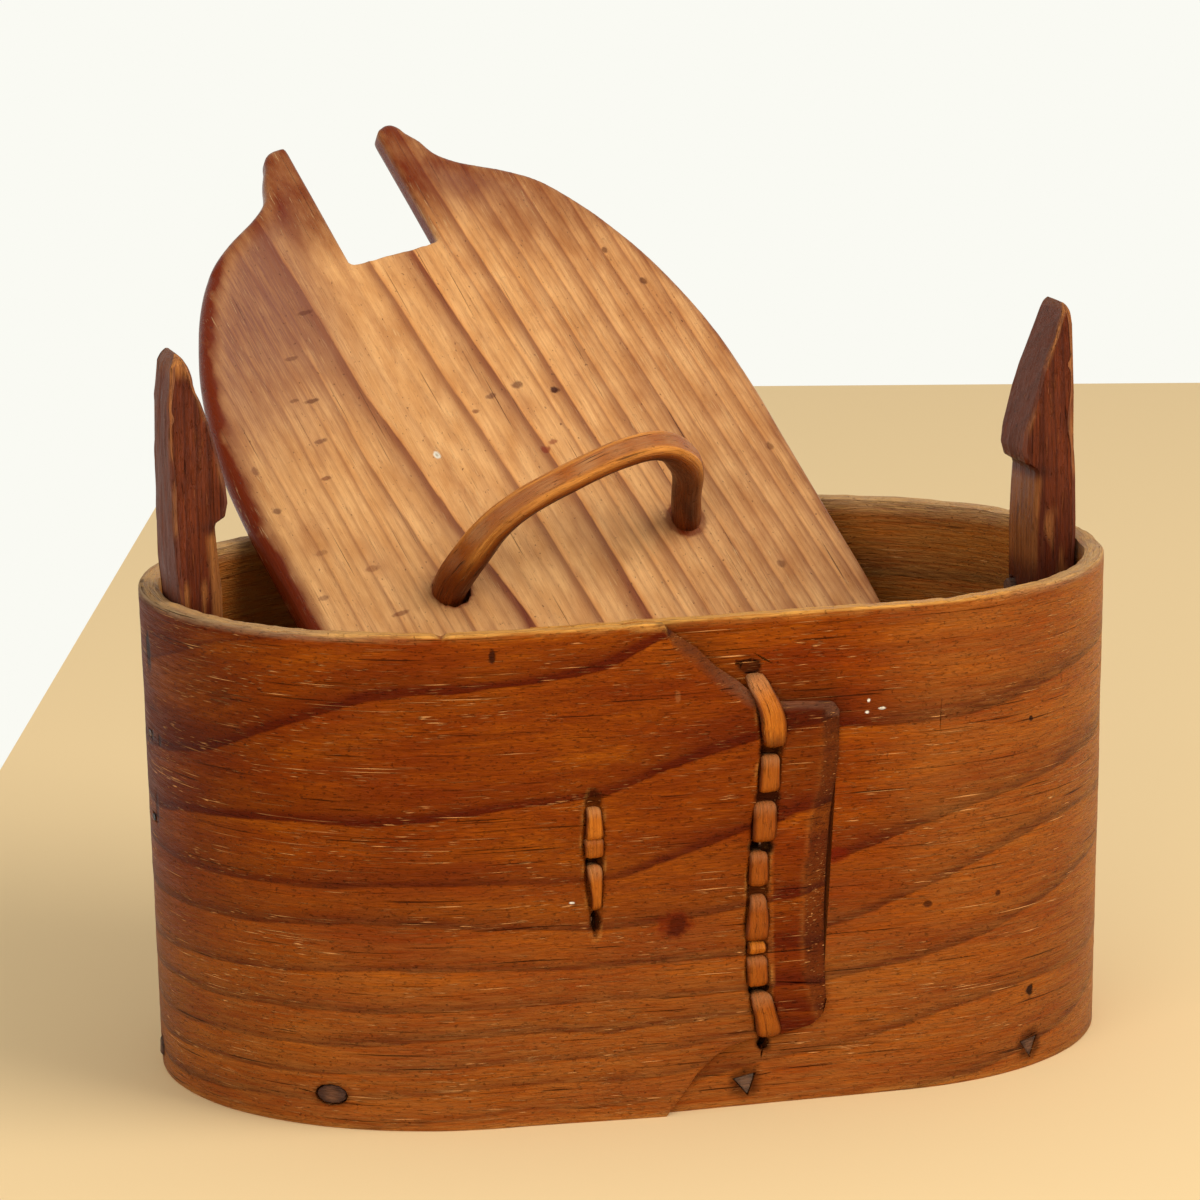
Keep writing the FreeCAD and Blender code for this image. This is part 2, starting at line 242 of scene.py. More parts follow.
def wallPlace(x, y, z):
    side = 1 if x >= 0 else -1
    past = abs(x) - box["straight"]
    if past <= 0:
        radius = abs(y)
        s = x if y < 0 else side * (2 * box["straight"] + math.pi * box["endRadius"] - abs(x))
    else:
        radius = math.hypot(past, y)
        s = side * (box["straight"] + box["endRadius"] * math.atan2(past, -y))
    return s, radius - outerRadius(z) + box["wall"]


def underFace(s):
    # depth of the inner layer's outer face where the lap covers it
    if s < box["thinTo"]:
        return -1.0
    share = min((s - box["thinTo"]) / (box["thinFrom"] - box["thinTo"]), 1.0)
    return 0.6 + share * (box["wall"] - 0.6)


def outerEnd(s):
    # inner and outer depth of the strip's outer end, which climbs over the inner one
    share = smoothStep(box["lapStarts"] - 4, box["thinFrom"] + 4, s)
    lift = min(max((s - box["lapStarts"]) / (box["thinFrom"] - box["lapStarts"]), 0.0), 1.0)
    return lift * box["lapSeam"], box["wall"] + (0.5 * lift + 0.5 * share) * (box["lapFace"] - box["wall"])


# how the growth lines run in each board, as their heights at places along the grain
grainMaps = {}
# the strip's, from its inner end round to its outer end
grainMaps["band"] = {
    -41: (118, 90, 50, 33, 18, 2, -12, -26, -40, -54, -68, -82),
    30: (116, 88, 56.5, 41.5, 28.5, 13, -3, -18, -32, -45, -58, -70),
    55: (116, 87.5, 64.5, 50, 32.5, 18, 1, -14, -28, -40, -52, -64),
    80: (117, 90.5, 68.5, 57, 38.5, 21, 5, -10, -22, -34, -45, -56),
    115: (120, 95.5, 73.5, 59.5, 45.5, 23.5, 12, 0, -12, -22, -32, -42),
    165: (122, 97, 76, 62, 48, 31, 20, 10, 0, -8, -17, -26),
    300: (112, 92, 74, 60, 49, 39, 31, 24, 17, 11, 5, -1),
    440: (104, 81, 67, 56.5, 46, 35, 28, 20, 14, 8, 2, -5),
    462: (100, 80, 65.5, 56, 45.5, 34.5, 27, 18.5, 11.5, 4.5, -2, -8),
    492: (108, 84, 68.5, 55.7, 46.2, 35.2, 27.3, 18.5, 12, 5, -2, -8),
    515: (113, 92, 70.7, 56.2, 47, 36, 27.6, 19, 12.8, 5.8, -1, -8),
    540: (118, 100, 71, 57, 48, 37.3, 28, 20.3, 13.6, 7.5, 1, -7),
    570: (121, 102.5, 74, 57, 46.6, 37, 28.8, 22, 15.8, 10, 4, -4),
    592: (124, 106, 76, 56.8, 45.5, 36.4, 28.5, 20.6, 15, 9.3, 4, -4),
    606: (128, 112, 81.5, 60.5, 46.3, 36.5, 28.2, 21.4, 15.8, 10, 5, -4),
    625: (134, 118, 86, 66, 47.5, 36.5, 28, 22.5, 18, 13, 8, 0),
    650: (140, 124, 92, 72, 52, 38, 28, 22, 17, 12, 7, 0),
}
lineStrengths = {"band": (0.55, 1.0, 1.0, 0.85, 0.88, 0.82, 0.85, 0.88, 0.75, 0.8, 0.65, 0.65)}

# the lid's, across it from its left edge to its right one, at places along it
grainMaps["lid"] = {
    -140: (70, 61, 52, 43, 35, 22, 10, -2, -14, -25, -30.5, -36.5, -41, -46.5, -51.5, -56, -61, -66, -70, -74),
    -60: (67, 58, 48, 39, 31, 16.5, 0, -12, -21.5, -27, -33, -38, -43, -48.5, -53, -58, -63, -67, -71, -75),
    -15: (68, 57, 47, 38.5, 31, 16.8, 0.4, -11.5, -19.6, -25.2, -31, -35.8, -41.2, -46.6, -51.2, -56, -61, -65, -69, -73),
    15: (69, 57, 47.5, 39.5, 32.5, 21.3, 1.8, -10.6, -18.3, -23.7, -29.6,
         -34.3, -39.7, -45, -49.7, -54.4, -59.4, -63.4, -67, -72),
    40: (70, 57.5, 48, 40, 34.6, 23.9, 3.5, -8.9, -17, -22.3, -28.2, -33, -38.3, -43.7, -48.3, -53, -58, -62, -66, -71),
    60: (71, 58, 48, 40.5, 34.8, 26.6, 5.3, -7.1, -16, -21.3, -27.2, -32, -37.3, -42.7, -47.3, -52, -57, -61, -65, -70),
    85: (73, 60, 50, 42, 36, 27.5, 6.7, -5.2, -14.5, -20, -25.8, -30.6, -36, -41.3, -46, -50.6, -55.6, -60, -64, -69),
    110: (75, 62, 52, 44, 38, 29, 9, -3.5, -12.8, -18.6, -24.4, -29.2, -34.6, -40, -44.6, -49.2, -54.2, -58.5, -63, -68),
    140: (77, 64, 54, 46, 40, 31, 11, -1.5, -11, -17, -23, -28, -33, -38, -43, -48, -53, -57, -61, -66),
}
lineStrengths["lid"] = (0.3, 0.3, 0.35, 0.3, 0.55, 1.0, 0.75, 1.0, 0.45, 0.75,
                        0.4, 0.65, 0.45, 0.65, 0.4, 0.55, 0.45, 0.55, 0.4, 0.4)


@functools.lru_cache(maxsize=None)
def linesAt(board, step):
    knots = grainMaps[board]
    count = len(next(iter(knots.values())))
    return [curveAt([(place, heights[k]) for place, heights in knots.items()], step * 0.5) for k in range(count)]


def ringBetween(board, along, across):
    # lines fall from high to low: the ring is the line's number and the share of the way to the next
    lines, strengths = linesAt(board, round(along * 2)), lineStrengths[board]
    last = len(lines) - 1
    if across >= lines[0]:
        return -min((across - lines[0]) / 12.0, 0.99), strengths[0], 12.0
    if across < lines[last]:
        return last + (lines[last] - across) / 9.0, 0.3, 9.0
    k = 0
    while across < lines[k + 1]:
        k += 1
    width = max(lines[k] - lines[k + 1], 0.5)
    share = (lines[k] - across) / width
    blend = smoothStep(0.08, 0.3, share)
    return k + share, strengths[k] * (1 - blend) + strengths[k + 1] * blend, width


def linearColour(hexColour):
    parts = [int(hexColour[i:i + 2], 16) / 255 for i in (1, 3, 5)]
    return tuple(c / 12.92 if c <= 0.04045 else ((c + 0.055) / 1.055) ** 2.4 for c in parts) + (1.0,)


def addNode(tree, kind, settings={}, links={}):
    node = tree.nodes.new("ShaderNode" + kind)
    for key, value in settings.items():
        if key == "stops":
            ramp = node.color_ramp
            while len(ramp.elements) < len(value):
                ramp.elements.new(0.5)
            for element, (where, tone) in zip(ramp.elements, value):
                element.position = where
                element.color = linearColour(tone) if isinstance(tone, str) else (tone, tone, tone, 1)
        elif isinstance(key, str) and hasattr(node, key):
            setattr(node, key, value)
        else:
            node.inputs[key].default_value = value
    for key, source in links.items():
        tree.links.new(source, node.inputs[key])
    return node


def mixTone(tree, share, under, over):
    # over laid on under by share; each is a colour, a number or a socket
    node = addNode(tree, "Mix", {"data_type": "RGBA"})
    for index, source in ((0, share), (6, under), (7, over)):
        if isinstance(source, bpy.types.NodeSocket):
            tree.links.new(source, node.inputs[index])
        else:
            node.inputs[index].default_value = linearColour(source) if isinstance(source, str) else source
    return node.outputs[2]


def mathOn(tree, operation, first, second=0.5, clamp=False):
    node = addNode(tree, "Math", {"operation": operation, "use_clamp": clamp})
    for index, source in ((0, first), (1, second)):
        if isinstance(source, bpy.types.NodeSocket):
            tree.links.new(source, node.inputs[index])
        else:
            node.inputs[index].default_value = source
    return node.outputs[0]


def grainNoise(tree, place, size, low, high, detail=3.0, shift=0.0):
    # noise stretched to size (along, across, deep) in mm, spread from 0 at low to 1 at high
    where = addNode(tree, "VectorMath", {"operation": "MULTIPLY", 1: [1 / v for v in size]}, {0: place}).outputs[0]
    if shift:
        where = addNode(tree, "VectorMath", {"operation": "ADD", 1: (shift, shift * 2, -shift)}, {0: where}).outputs[0]
    texture = addNode(tree, "TexNoise", {"Scale": 1.0, "Detail": detail, "Roughness": 0.55}, {"Vector": where})
    return addNode(tree, "MapRange", {1: low, 2: high}, {0: texture.outputs[0]}).outputs[0]


def oldWood(name, look):
    # every wood reads the place, ring and marks of its piece, so the grain follows the piece's shape
    material = bpy.data.materials.new(name)
    material.use_nodes = True
    tree = material.node_tree
    shader = tree.nodes["Principled BSDF"]
    if look.get("turned"):
        # a piece with no place of its own: its grain is turned to lie along the first axis
        spot = addNode(tree, "TexCoord").outputs["Object"]
        inMm = {"Rotation": look["turned"], "Scale": (1000, 1000, 1000)}
        place = addNode(tree, "Mapping", inMm, {"Vector": spot}).outputs[0]
        across = addNode(tree, "SeparateXYZ", {}, {0: place}).outputs[1]
        ringHere = mathOn(tree, "DIVIDE", across, look["ringWidth"])
        strength, width = 0.8, look["ringWidth"]
        wearAndLight = dirtAndShade = grey = None
    else:
        place = addNode(tree, "Attribute", {"attribute_name": "place"}).outputs["Vector"]
        rings = addNode(tree, "Attribute", {"attribute_name": "rings"}).outputs["Vector"]
        ringHere, strength, width = addNode(tree, "SeparateXYZ", {}, {0: rings}).outputs
        marks = addNode(tree, "Attribute", {"attribute_name": "marks"}).outputs["Vector"]
        wearAndLight, dirtAndShade, grey = addNode(tree, "SeparateXYZ", {}, {0: marks}).outputs

    # growth rings: the late wood darkens over some mm and ends at once
    wave = grainNoise(tree, place, (40, 9, 30), 0.0, 1.0, 2.0, 3.0)
    ripple = grainNoise(tree, place, (9, 1.6, 9), 0.0, 1.0, 3.0, 7.0)
    sway = mathOn(tree, "MULTIPLY", mathOn(tree, "SUBTRACT", wave, 0.5), look["sway"])
    shiver = mathOn(tree, "MULTIPLY", mathOn(tree, "SUBTRACT", ripple, 0.5), look["shiver"])
    ring = mathOn(tree, "ADD", ringHere, mathOn(tree, "DIVIDE", mathOn(tree, "ADD", sway, shiver), width))
    inRing = mathOn(tree, "FRACT", ring)
    toNext = mathOn(tree, "MULTIPLY", mathOn(tree, "MULTIPLY", mathOn(tree, "SUBTRACT", 1.0, inRing), width), 0.1)
    fromLast = mathOn(tree, "MULTIPLY", mathOn(tree, "MULTIPLY", inRing, width), 0.1)
    if "spread" in look:
        # the strongest lines have the widest late wood
        reach = addNode(tree, "MapRange", {3: look["spread"][0], 4: look["spread"][1]}, {0: strength}).outputs[0]
        toNext = mathOn(tree, "DIVIDE", toNext, reach)
    late = addNode(tree, "ValToRGB", {"stops": look["lateWood"]}, {0: toNext}).outputs[0]
    ended = addNode(tree, "ValToRGB", {"stops": ((0.0, 0.9), (0.025, 0.35), (0.05, 0.0))}, {0: fromLast}).outputs[0]
    fade = grainNoise(tree, place, (55, 14, 30), 0.25, 0.65, 2.0, 11.0)
    fade = mathOn(tree, "ADD", mathOn(tree, "MULTIPLY", fade, 0.4), 0.6)
    late = mathOn(tree, "MULTIPLY", mathOn(tree, "MAXIMUM", late, ended), mathOn(tree, "MULTIPLY", strength, fade), True)
    fineRing = mathOn(tree, "FRACT", mathOn(tree, "MULTIPLY", ring, look["fineRings"]))
    fineStops = ((0.0, 0.7), (0.12, 0.0), (0.6, 0.0), (1.0, 0.9))
    fineLate = addNode(tree, "ValToRGB", {"stops": fineStops}, {0: fineRing}).outputs[0]

    blotch = grainNoise(tree, place, look["blotch"], 0.3, 0.7, 4.0, 1.0)
    fibre = grainNoise(tree, place, look["fibre"], 0.35, 0.66, 4.0)
    hair = grainNoise(tree, place, look.get("hair", (9, 0.28, 0.28)), 0.38, 0.64, 2.0, 5.0)
    # glints are painted highlights: short light dashes, in patches, where raised fibres catch the light
    glint = grainNoise(tree, place, (4.5, 0.33, 0.5), 0.64, 0.73, 1.0, 23.0)
    glintPatch = grainNoise(tree, place, (26, 9, 20), 0.45, 0.62, 2.0, 31.0)
    glint = mathOn(tree, "MULTIPLY", glint, glintPatch)
    if "fibreHighlight" in look:
        # painted highlights on long fibres torn up by the knife, some mm long and a third of a mm wide
        tornFibreHighlight = grainNoise(tree, place, look["fibreHighlight"], 0.68, 0.74, 1.0, 83.0)
        tornHighlightPatch = grainNoise(tree, place, (34, 12, 20), 0.4, 0.53, 2.0, 91.0)
        glint = mathOn(tree, "MAXIMUM", glint, mathOn(tree, "MULTIPLY", tornFibreHighlight, tornHighlightPatch))
    crack = grainNoise(tree, place, look["crack"], 0.7, 0.78, 1.0, 41.0)
    speck = grainNoise(tree, place, (1.1, 0.8, 1.0), 0.7, 0.78, 1.0, 53.0)
    pore = grainNoise(tree, place, look.get("pore", (2.4, 0.45, 0.8)), 0.62, 0.72, 2.0, 67.0)
    soot = grainNoise(tree, place, (17, 6, 12), 0.5, 0.75, 5.0, 61.0)

    tone = mixTone(tree, blotch, look["light"], look["middle"])
    if "flushTone" in look:
        flush = grainNoise(tree, place, look["flush"], 0.4, 0.66, 4.0, 71.0)
        tone = mixTone(tree, mathOn(tree, "MULTIPLY", flush, look["flushShare"]), tone, look["flushTone"])
    tone = mixTone(tree, mathOn(tree, "MULTIPLY", late, look["lateShare"]), tone, look["lateTone"])
    if "fringeTone" in look:
        # resin shows bright just past the line
        fringeStops = ((0.0, 0.0), (0.02, 1.0), (0.07, 0.6), (0.15, 0.0))
        fringe = addNode(tree, "ValToRGB", {"stops": fringeStops}, {0: fromLast}).outputs[0]
        fringe = mathOn(tree, "MULTIPLY", mathOn(tree, "MULTIPLY", fringe, strength), look["fringeShare"])
        tone = mixTone(tree, fringe, tone, look["fringeTone"])
    tone = mixTone(tree, mathOn(tree, "MULTIPLY", fineLate, look["fineShare"]), tone, look["lateTone"])
    tone = mixTone(tree, mathOn(tree, "MULTIPLY", fibre, look["fibreShare"]), tone, look["deep"])
    tone = mixTone(tree, mathOn(tree, "MULTIPLY", hair, look.get("hairShare", 0.3)), tone, look["deep"])
    tone = mixTone(tree, mathOn(tree, "MULTIPLY", pore, look.get("poreShare", 0.2)), tone, look["crackTone"])
    tone = mixTone(tree, mathOn(tree, "MULTIPLY", soot, look["sootShare"]), tone, look["deep"])
    if wearAndLight:
        # wear, and painted light where a piece marks it, lightens the tone
        edge = mathOn(tree, "MULTIPLY", wearAndLight, mathOn(tree, "ADD", fibre, 0.45), True)
        tone = mixTone(tree, edge, tone, look["wearAndLightTone"])
        # dirt, and painted shade where a piece marks it, darkens it
        dirtAndShadeShare = mathOn(tree, "MULTIPLY", dirtAndShade, mathOn(tree, "ADD", mathOn(tree, "MULTIPLY", blotch, 0.5), 0.65), True)
        tone = mixTone(tree, dirtAndShadeShare, tone, look["dirtAndShadeTone"])
        weather = mathOn(tree, "MULTIPLY", grey, mathOn(tree, "ADD", mathOn(tree, "MULTIPLY", hair, 0.4), 0.65), True)
        tone = mixTone(tree, weather, tone, look["greyTone"])
    tone = mixTone(tree, mathOn(tree, "MULTIPLY", crack, 0.75), tone, look["crackTone"])
    tone = mixTone(tree, mathOn(tree, "MULTIPLY", speck, look["speckShare"]), tone, look["crackTone"])
    tone = mixTone(tree, mathOn(tree, "MULTIPLY", glint, look["glintShare"]), tone, look["glintTone"])
    spotted = None
    if "spots" in look:
        # single marks: place along and across, half sizes, tone, share, all in mm
        ragged = mathOn(tree, "MULTIPLY", grainNoise(tree, place, (1.6, 1.2, 1.6), 0.2, 0.8, 3.0, 97.0), 0.7)
        for along, across, long, tall, spotTone, share in look["spots"]:
            away = addNode(tree, "VectorMath", {"operation": "SUBTRACT", 1: (along, across, 0)}, {0: place}).outputs[0]
            away = addNode(tree, "VectorMath", {"operation": "MULTIPLY", 1: (1 / long, 1 / tall, 0)}, {0: away}).outputs[0]
            away = addNode(tree, "VectorMath", {"operation": "LENGTH"}, {0: away}).outputs["Value"]
            away = mathOn(tree, "ADD", away, ragged)
            inSpot = addNode(tree, "MapRange", {1: 1.45, 2: 1.0, 4: share}, {0: away}).outputs[0]
            tone = mixTone(tree, inSpot, tone, spotTone)
            spotted = mathOn(tree, "MAXIMUM", spotted, inSpot) if spotted else inSpot
    tree.links.new(tone, shader.inputs["Base Color"])

    height = mathOn(tree, "MULTIPLY", fibre, 0.35)
    for source, share in ((hair, 0.35), (late, look["lateRelief"]), (crack, -1.2), (glint, 1.1),
                          (speck, -0.6), (pore, -0.5), (spotted, -0.8)):
        if source:
            height = mathOn(tree, "ADD", height, mathOn(tree, "MULTIPLY", source, share))
    bump = addNode(tree, "Bump", {"Strength": look["bump"], "Distance": look.get("relief", 0.00022)}, {"Height": height})
    tree.links.new(bump.outputs[0], shader.inputs["Normal"])
    gloss = mathOn(tree, "ADD", mathOn(tree, "MULTIPLY", fibre, 0.14), look["roughness"])
    if wearAndLight:
        dulled = mathOn(tree, "ADD", grey, mathOn(tree, "MULTIPLY", dirtAndShade, look["dirtAndShadeDulls"]))
        dulled = mathOn(tree, "MULTIPLY", dulled, 0.3)
        gloss = mathOn(tree, "ADD", gloss, dulled, True)
    tree.links.new(gloss, shader.inputs["Roughness"])
    shader.inputs["IOR"].default_value = 1.45
    shader.inputs["Specular IOR Level"].default_value = look.get("gloss", 0.3)
    return material


# split spruce, steamed and bent: red-brown with age and handling, wide growth rings lying along the strip,
# short raised fibres with painted highlights, satin from wax
bandLook = {
    "light": "#b05c09", "middle": "#8e3900", "deep": "#6a2400", "lateTone": "#501000",
    "lateWood": ((0.0, 1.0), (0.1, 0.92), (0.24, 0.45), (0.5, 0.22), (0.9, 0.0)),   # tenths are mm before the line
    "spread": (-0.8, 1.15),
    "sway": 3.0, "shiver": 0.9, "fineRings": 5.0, "fineShare": 0.22, "lateShare": 1.4,
    "blotch": (46, 11, 40), "flush": (38, 8, 30), "flushTone": "#7a2200", "flushShare": 0.6,
    "fibre": (12, 0.75, 1.0), "fibreShare": 0.42, "crack": (30, 0.55, 3), "sootShare": 0.25,
    "wearAndLightTone": "#dca050", "dirtAndShadeTone": "#2c0d00", "greyTone": "#ae977a", "crackTone": "#240a00",
    "glintTone": "#eaa462", "glintShare": 0.8, "fibreHighlight": (19, 0.36, 0.7), "speckShare": 0.35, "poreShare": 0.45,
    "hair": (5.0, 0.28, 0.28), "pore": (1.8, 0.4, 0.8),
    # knots and small marks, as (place along the strip, height, half length, half height, tone, share)
    "spots": (
        (82.5, 18.5, 1.5, 1.5, "#240c04", 0.95), (51.5, 44.0, 1.2, 0.9, "#3a1404", 0.8),
        (71.0, 44.0, 0.9, 0.8, "#3a1404", 0.8), (81.0, 83.7, 0.7, 0.7, "#240c04", 0.9),
        (29.5, 57.5, 3.2, 2.2, "#6b1600", 0.75), (37.0, 93.0, 0.45, 0.45, "#f2ece0", 0.95),
        (36.6, 90.3, 0.55, 0.4, "#f2ece0", 0.95), (40.2, 91.0, 0.9, 0.35, "#f2ece0", 0.9),
        (roundTrip - 10.0, 45.0, 4.6, 3.4, "#6a1c00", 0.7), (roundTrip - 9.4, 44.6, 2.6, 2.6, "#4a1604", 0.85),
        (roundTrip - 33.5, 51.8, 0.7, 0.3, "#efe9dd", 0.95), (roundTrip - 51.0, 109.5, 0.8, 1.9, "#2a0c04", 0.85),
        (roundTrip - 118.0, 97.0, 5.0, 2.2, "#3c1006", 0.4), (roundTrip - 9.0, 98.0, 0.8, 1.6, "#a56a3c", 0.4),
        (roundTrip - 152.0, 64.5, 1.6, 4.6, "#3a0e04", 0.8), (roundTrip - 153.0, 102.0, 2.2, 5.2, "#170a06", 0.85),
        (roundTrip - 147.0, 82.0, 1.2, 1.6, "#2a0c04", 0.85), (roundTrip - 153.0, 82.0, 1.0, 1.6, "#2a0c04", 0.85),
    ),
    "hairShare": 0.45, "lateRelief": 0.5, "bump": 1.0, "relief": 0.00045, "roughness": 0.32, "gloss": 0.06,
    "dirtAndShadeDulls": 1.0,
}
bandWood = oldWood("bentSpruceWaxed", bandLook)

# quarter-sawn pine lid: pale honey between brown late wood, dark where hands and smoke reached its rounded edges
lidLook = {
    "light": "#edb87b", "middle": "#d0965a", "deep": "#9c5c30", "lateTone": "#6f3220",
    "lateWood": ((0.0, 1.0), (0.1, 0.9), (0.2, 0.5), (0.36, 0.22), (0.6, 0.0)),
    "spread": (-0.25, 1.3), "fringeTone": "#dc8630", "fringeShare": 0.45,
    "sway": 1.0, "shiver": 0.5, "fineRings": 3.0, "fineShare": 0.28, "lateShare": 1.05,
    "blotch": (13, 6, 12), "fibre": (22, 0.9, 1.2), "fibreShare": 0.17, "hairShare": 0.18,
    "crack": (34, 0.5, 3), "sootShare": 0.5,
    "wearAndLightTone": "#dba065", "dirtAndShadeTone": "#6a2408", "greyTone": "#7e5144", "crackTone": "#4a2416",
    "glintTone": "#f0c890", "glintShare": 0.3, "speckShare": 0.6,
    # as (place along the lid, across it, half length, half width, tone, share)
    "spots": (
        (37.2, 17.3, 1.2, 0.9, "#e2dccd", 0.95), (37.2, 17.3, 0.55, 0.4, "#b9ab93", 0.8),
        (45.7, -19.8, 1.1, 1.3, "#42190c", 0.95), (50.0, -11.3, 1.2, 1.5, "#5d2f1e", 0.7),
        (49.0, -3.5, 0.8, 1.5, "#5a2f24", 0.6), (46.0, 2.3, 0.8, 1.0, "#6b2c12", 0.65),
        (30.0, -9.3, 1.2, 1.4, "#7a2410", 0.7), (31.5, -12.0, 0.8, 1.3, "#7a2410", 0.6),
        (61.7, 39.8, 0.7, 1.9, "#5a2c20", 0.7), (63.0, 44.0, 0.6, 1.4, "#5a2c20", 0.5),
        (50.0, 43.0, 0.7, 1.9, "#63352a", 0.6), (47.0, 62.0, 1.4, 0.9, "#63352a", 0.5),
        (34.7, 62.0, 0.9, 1.2, "#5a2c20", 0.6), (12.0, 47.0, 1.0, 2.0, "#7a4024", 0.5),
        (39.5, 46.5, 0.7, 1.4, "#6b2a16", 0.65), (86.7, 29.8, 0.7, 2.2, "#5a2c20", 0.6),
        (75.0, 39.0, 0.7, 2.0, "#63352a", 0.55), (69.0, -56.8, 1.2, 1.0, "#5a2c16", 0.75),
        (80.8, -51.8, 1.0, 0.8, "#5a2c16", 0.7), (-19.5, -50.0, 1.3, 1.1, "#6b3a20", 0.6),
        (13.0, -64.0, 1.3, 0.9, "#5a2c16", 0.6), (-2.0, 46.0, 0.7, 2.4, "#6b2a16", 0.6),
        (8.0, 62.0, 0.8, 1.6, "#6b3a2a", 0.5), (-8.0, 55.0, 0.7, 2.0, "#6b2a16", 0.5),
        (20.0, 57.0, 0.8, 1.8, "#7a4024", 0.4), (-30.0, -20.0, 1.1, 1.4, "#6b3a20", 0.5),
    ),
    "lateRelief": 0.35, "bump": 0.6, "roughness": 0.36, "gloss": 0.22, "dirtAndShadeDulls": -0.4,
}
lidWood = oldWood("sawnPineOiled", lidLook)

# split juniper staves: dark, smoked and polished, with open grooves along the grain
uprightLook = {
    "light": "#803a16", "middle": "#65260b", "deep": "#42170a", "lateTone": "#361209",
    "lateWood": ((0.0, 1.0), (0.04, 0.7), (0.12, 0.2), (0.2, 0.0)),
    "sway": 1.6, "shiver": 0.4, "fineRings": 3.0, "fineShare": 0.35, "lateShare": 0.75,
    "blotch": (30, 7, 7), "flush": (18, 4, 4), "flushTone": "#7e3410", "flushShare": 0.45,
    "fibre": (40, 0.8, 0.8), "fibreShare": 0.45, "crack": (26, 0.45, 0.45), "sootShare": 0.3,
    "wearAndLightTone": "#b8773c", "dirtAndShadeTone": "#3a170c", "greyTone": "#74483a", "crackTone": "#2a0f08",
    "glintTone": "#b0673a", "glintShare": 0.3, "fibreHighlight": (11, 0.4, 0.5), "speckShare": 0.3,
    "lateRelief": 0.5, "bump": 1.0, "relief": 0.0004, "roughness": 0.32, "gloss": 0.22, "dirtAndShadeDulls": 0.0,
}
uprightWood = oldWood("splitJuniperSmoked", uprightLook)

# peeled juniper branch, whittled and worn smooth: warm orange on its edges, brown in the hollows, with painted light on
# top and painted shade beneath
handleLook = {
    "light": "#bd6418", "middle": "#a04a08", "deep": "#6d2b08", "lateTone": "#57200a",
    "lateWood": ((0.0, 1.0), (0.04, 0.6), (0.12, 0.2), (0.2, 0.0)),
    "sway": 1.2, "shiver": 0.4, "fineRings": 2.0, "fineShare": 0.15, "lateShare": 0.4,
    "blotch": (18, 4, 4), "flush": (22, 3, 3), "flushTone": "#7c2c04", "flushShare": 0.45,
    "fibre": (24, 0.8, 0.8), "fibreShare": 0.4, "crack": (16, 0.5, 0.5), "sootShare": 0.2,
    "wearAndLightTone": "#e39541", "dirtAndShadeTone": "#3d0d01", "greyTone": "#c79a6a", "crackTone": "#2c1006",
    "glintTone": "#d29a5d", "glintShare": 0.2, "speckShare": 0.3,
    "lateRelief": 0.3, "bump": 0.8, "relief": 0.0004, "roughness": 0.3, "gloss": 0.2, "dirtAndShadeDulls": 0.0,
}
handleWood = oldWood("peeledBranchPolished", handleLook)

# split spruce root: tan, ribbed along its length, with a painted highlight on top and painted shade, nearly black,
# where it dives into the wall
rootLook = {
    "light": "#aa5208", "middle": "#8b3900", "deep": "#5f2202", "lateTone": "#521c08",
    "lateWood": ((0.0, 1.0), (0.03, 0.6), (0.08, 0.0)),
    "sway": 0.5, "shiver": 0.3, "fineRings": 2.0, "fineShare": 0.25, "lateShare": 0.5,
    "blotch": (8, 3, 3), "fibre": (14, 0.5, 0.5), "fibreShare": 0.4, "crack": (10, 0.3, 0.3), "sootShare": 0.15,
    "wearAndLightTone": "#cf7a22", "dirtAndShadeTone": "#1a0904", "greyTone": "#b98a5e", "crackTone": "#3b1a0b",
    "glintTone": "#dc9a50", "glintShare": 0.25, "speckShare": 0.2,
    "lateRelief": 0.4, "bump": 1.0, "relief": 0.0004, "roughness": 0.3, "gloss": 0.15, "dirtAndShadeDulls": 0.0,
}
rootStrand = oldWood("splitRoot", rootLook)

# whittled birch pegs, nearly black with age round their cut ends
pegLook = dict(uprightLook, light="#5b2c18", middle="#4a2112", deep="#2f140b", lateTone="#25100a", flushShare=0.1,
               blotch=(9, 3, 3), fibre=(10, 0.6, 0.6), wearAndLightTone="#8d5a38", greyTone="#8b8072", roughness=0.55)
pegWood = oldWood("whittledPeg", pegLook)

# planed pine board at the bottom, dry and brown from what was kept in the box
boardLook = dict(bandLook, light="#8f5428", middle="#7c421b", deep="#5d2d10", lateTone="#54260d", turned=(0.0, 0.0, 0.03),
                 ringWidth=7.5, glintShare=0.2, flushShare=0.15, roughness=0.55)
for unused in ("spots", "spread"):
    del boardLook[unused]
boardWood = oldWood("planedPineBoard", boardLook)
wedgeWood = oldWood("splitWedge", dict(boardLook, light="#a9713f", middle="#935b2c", turned=(0.6, -0.5, 0.2), ringWidth=1.5))
print("materials done")


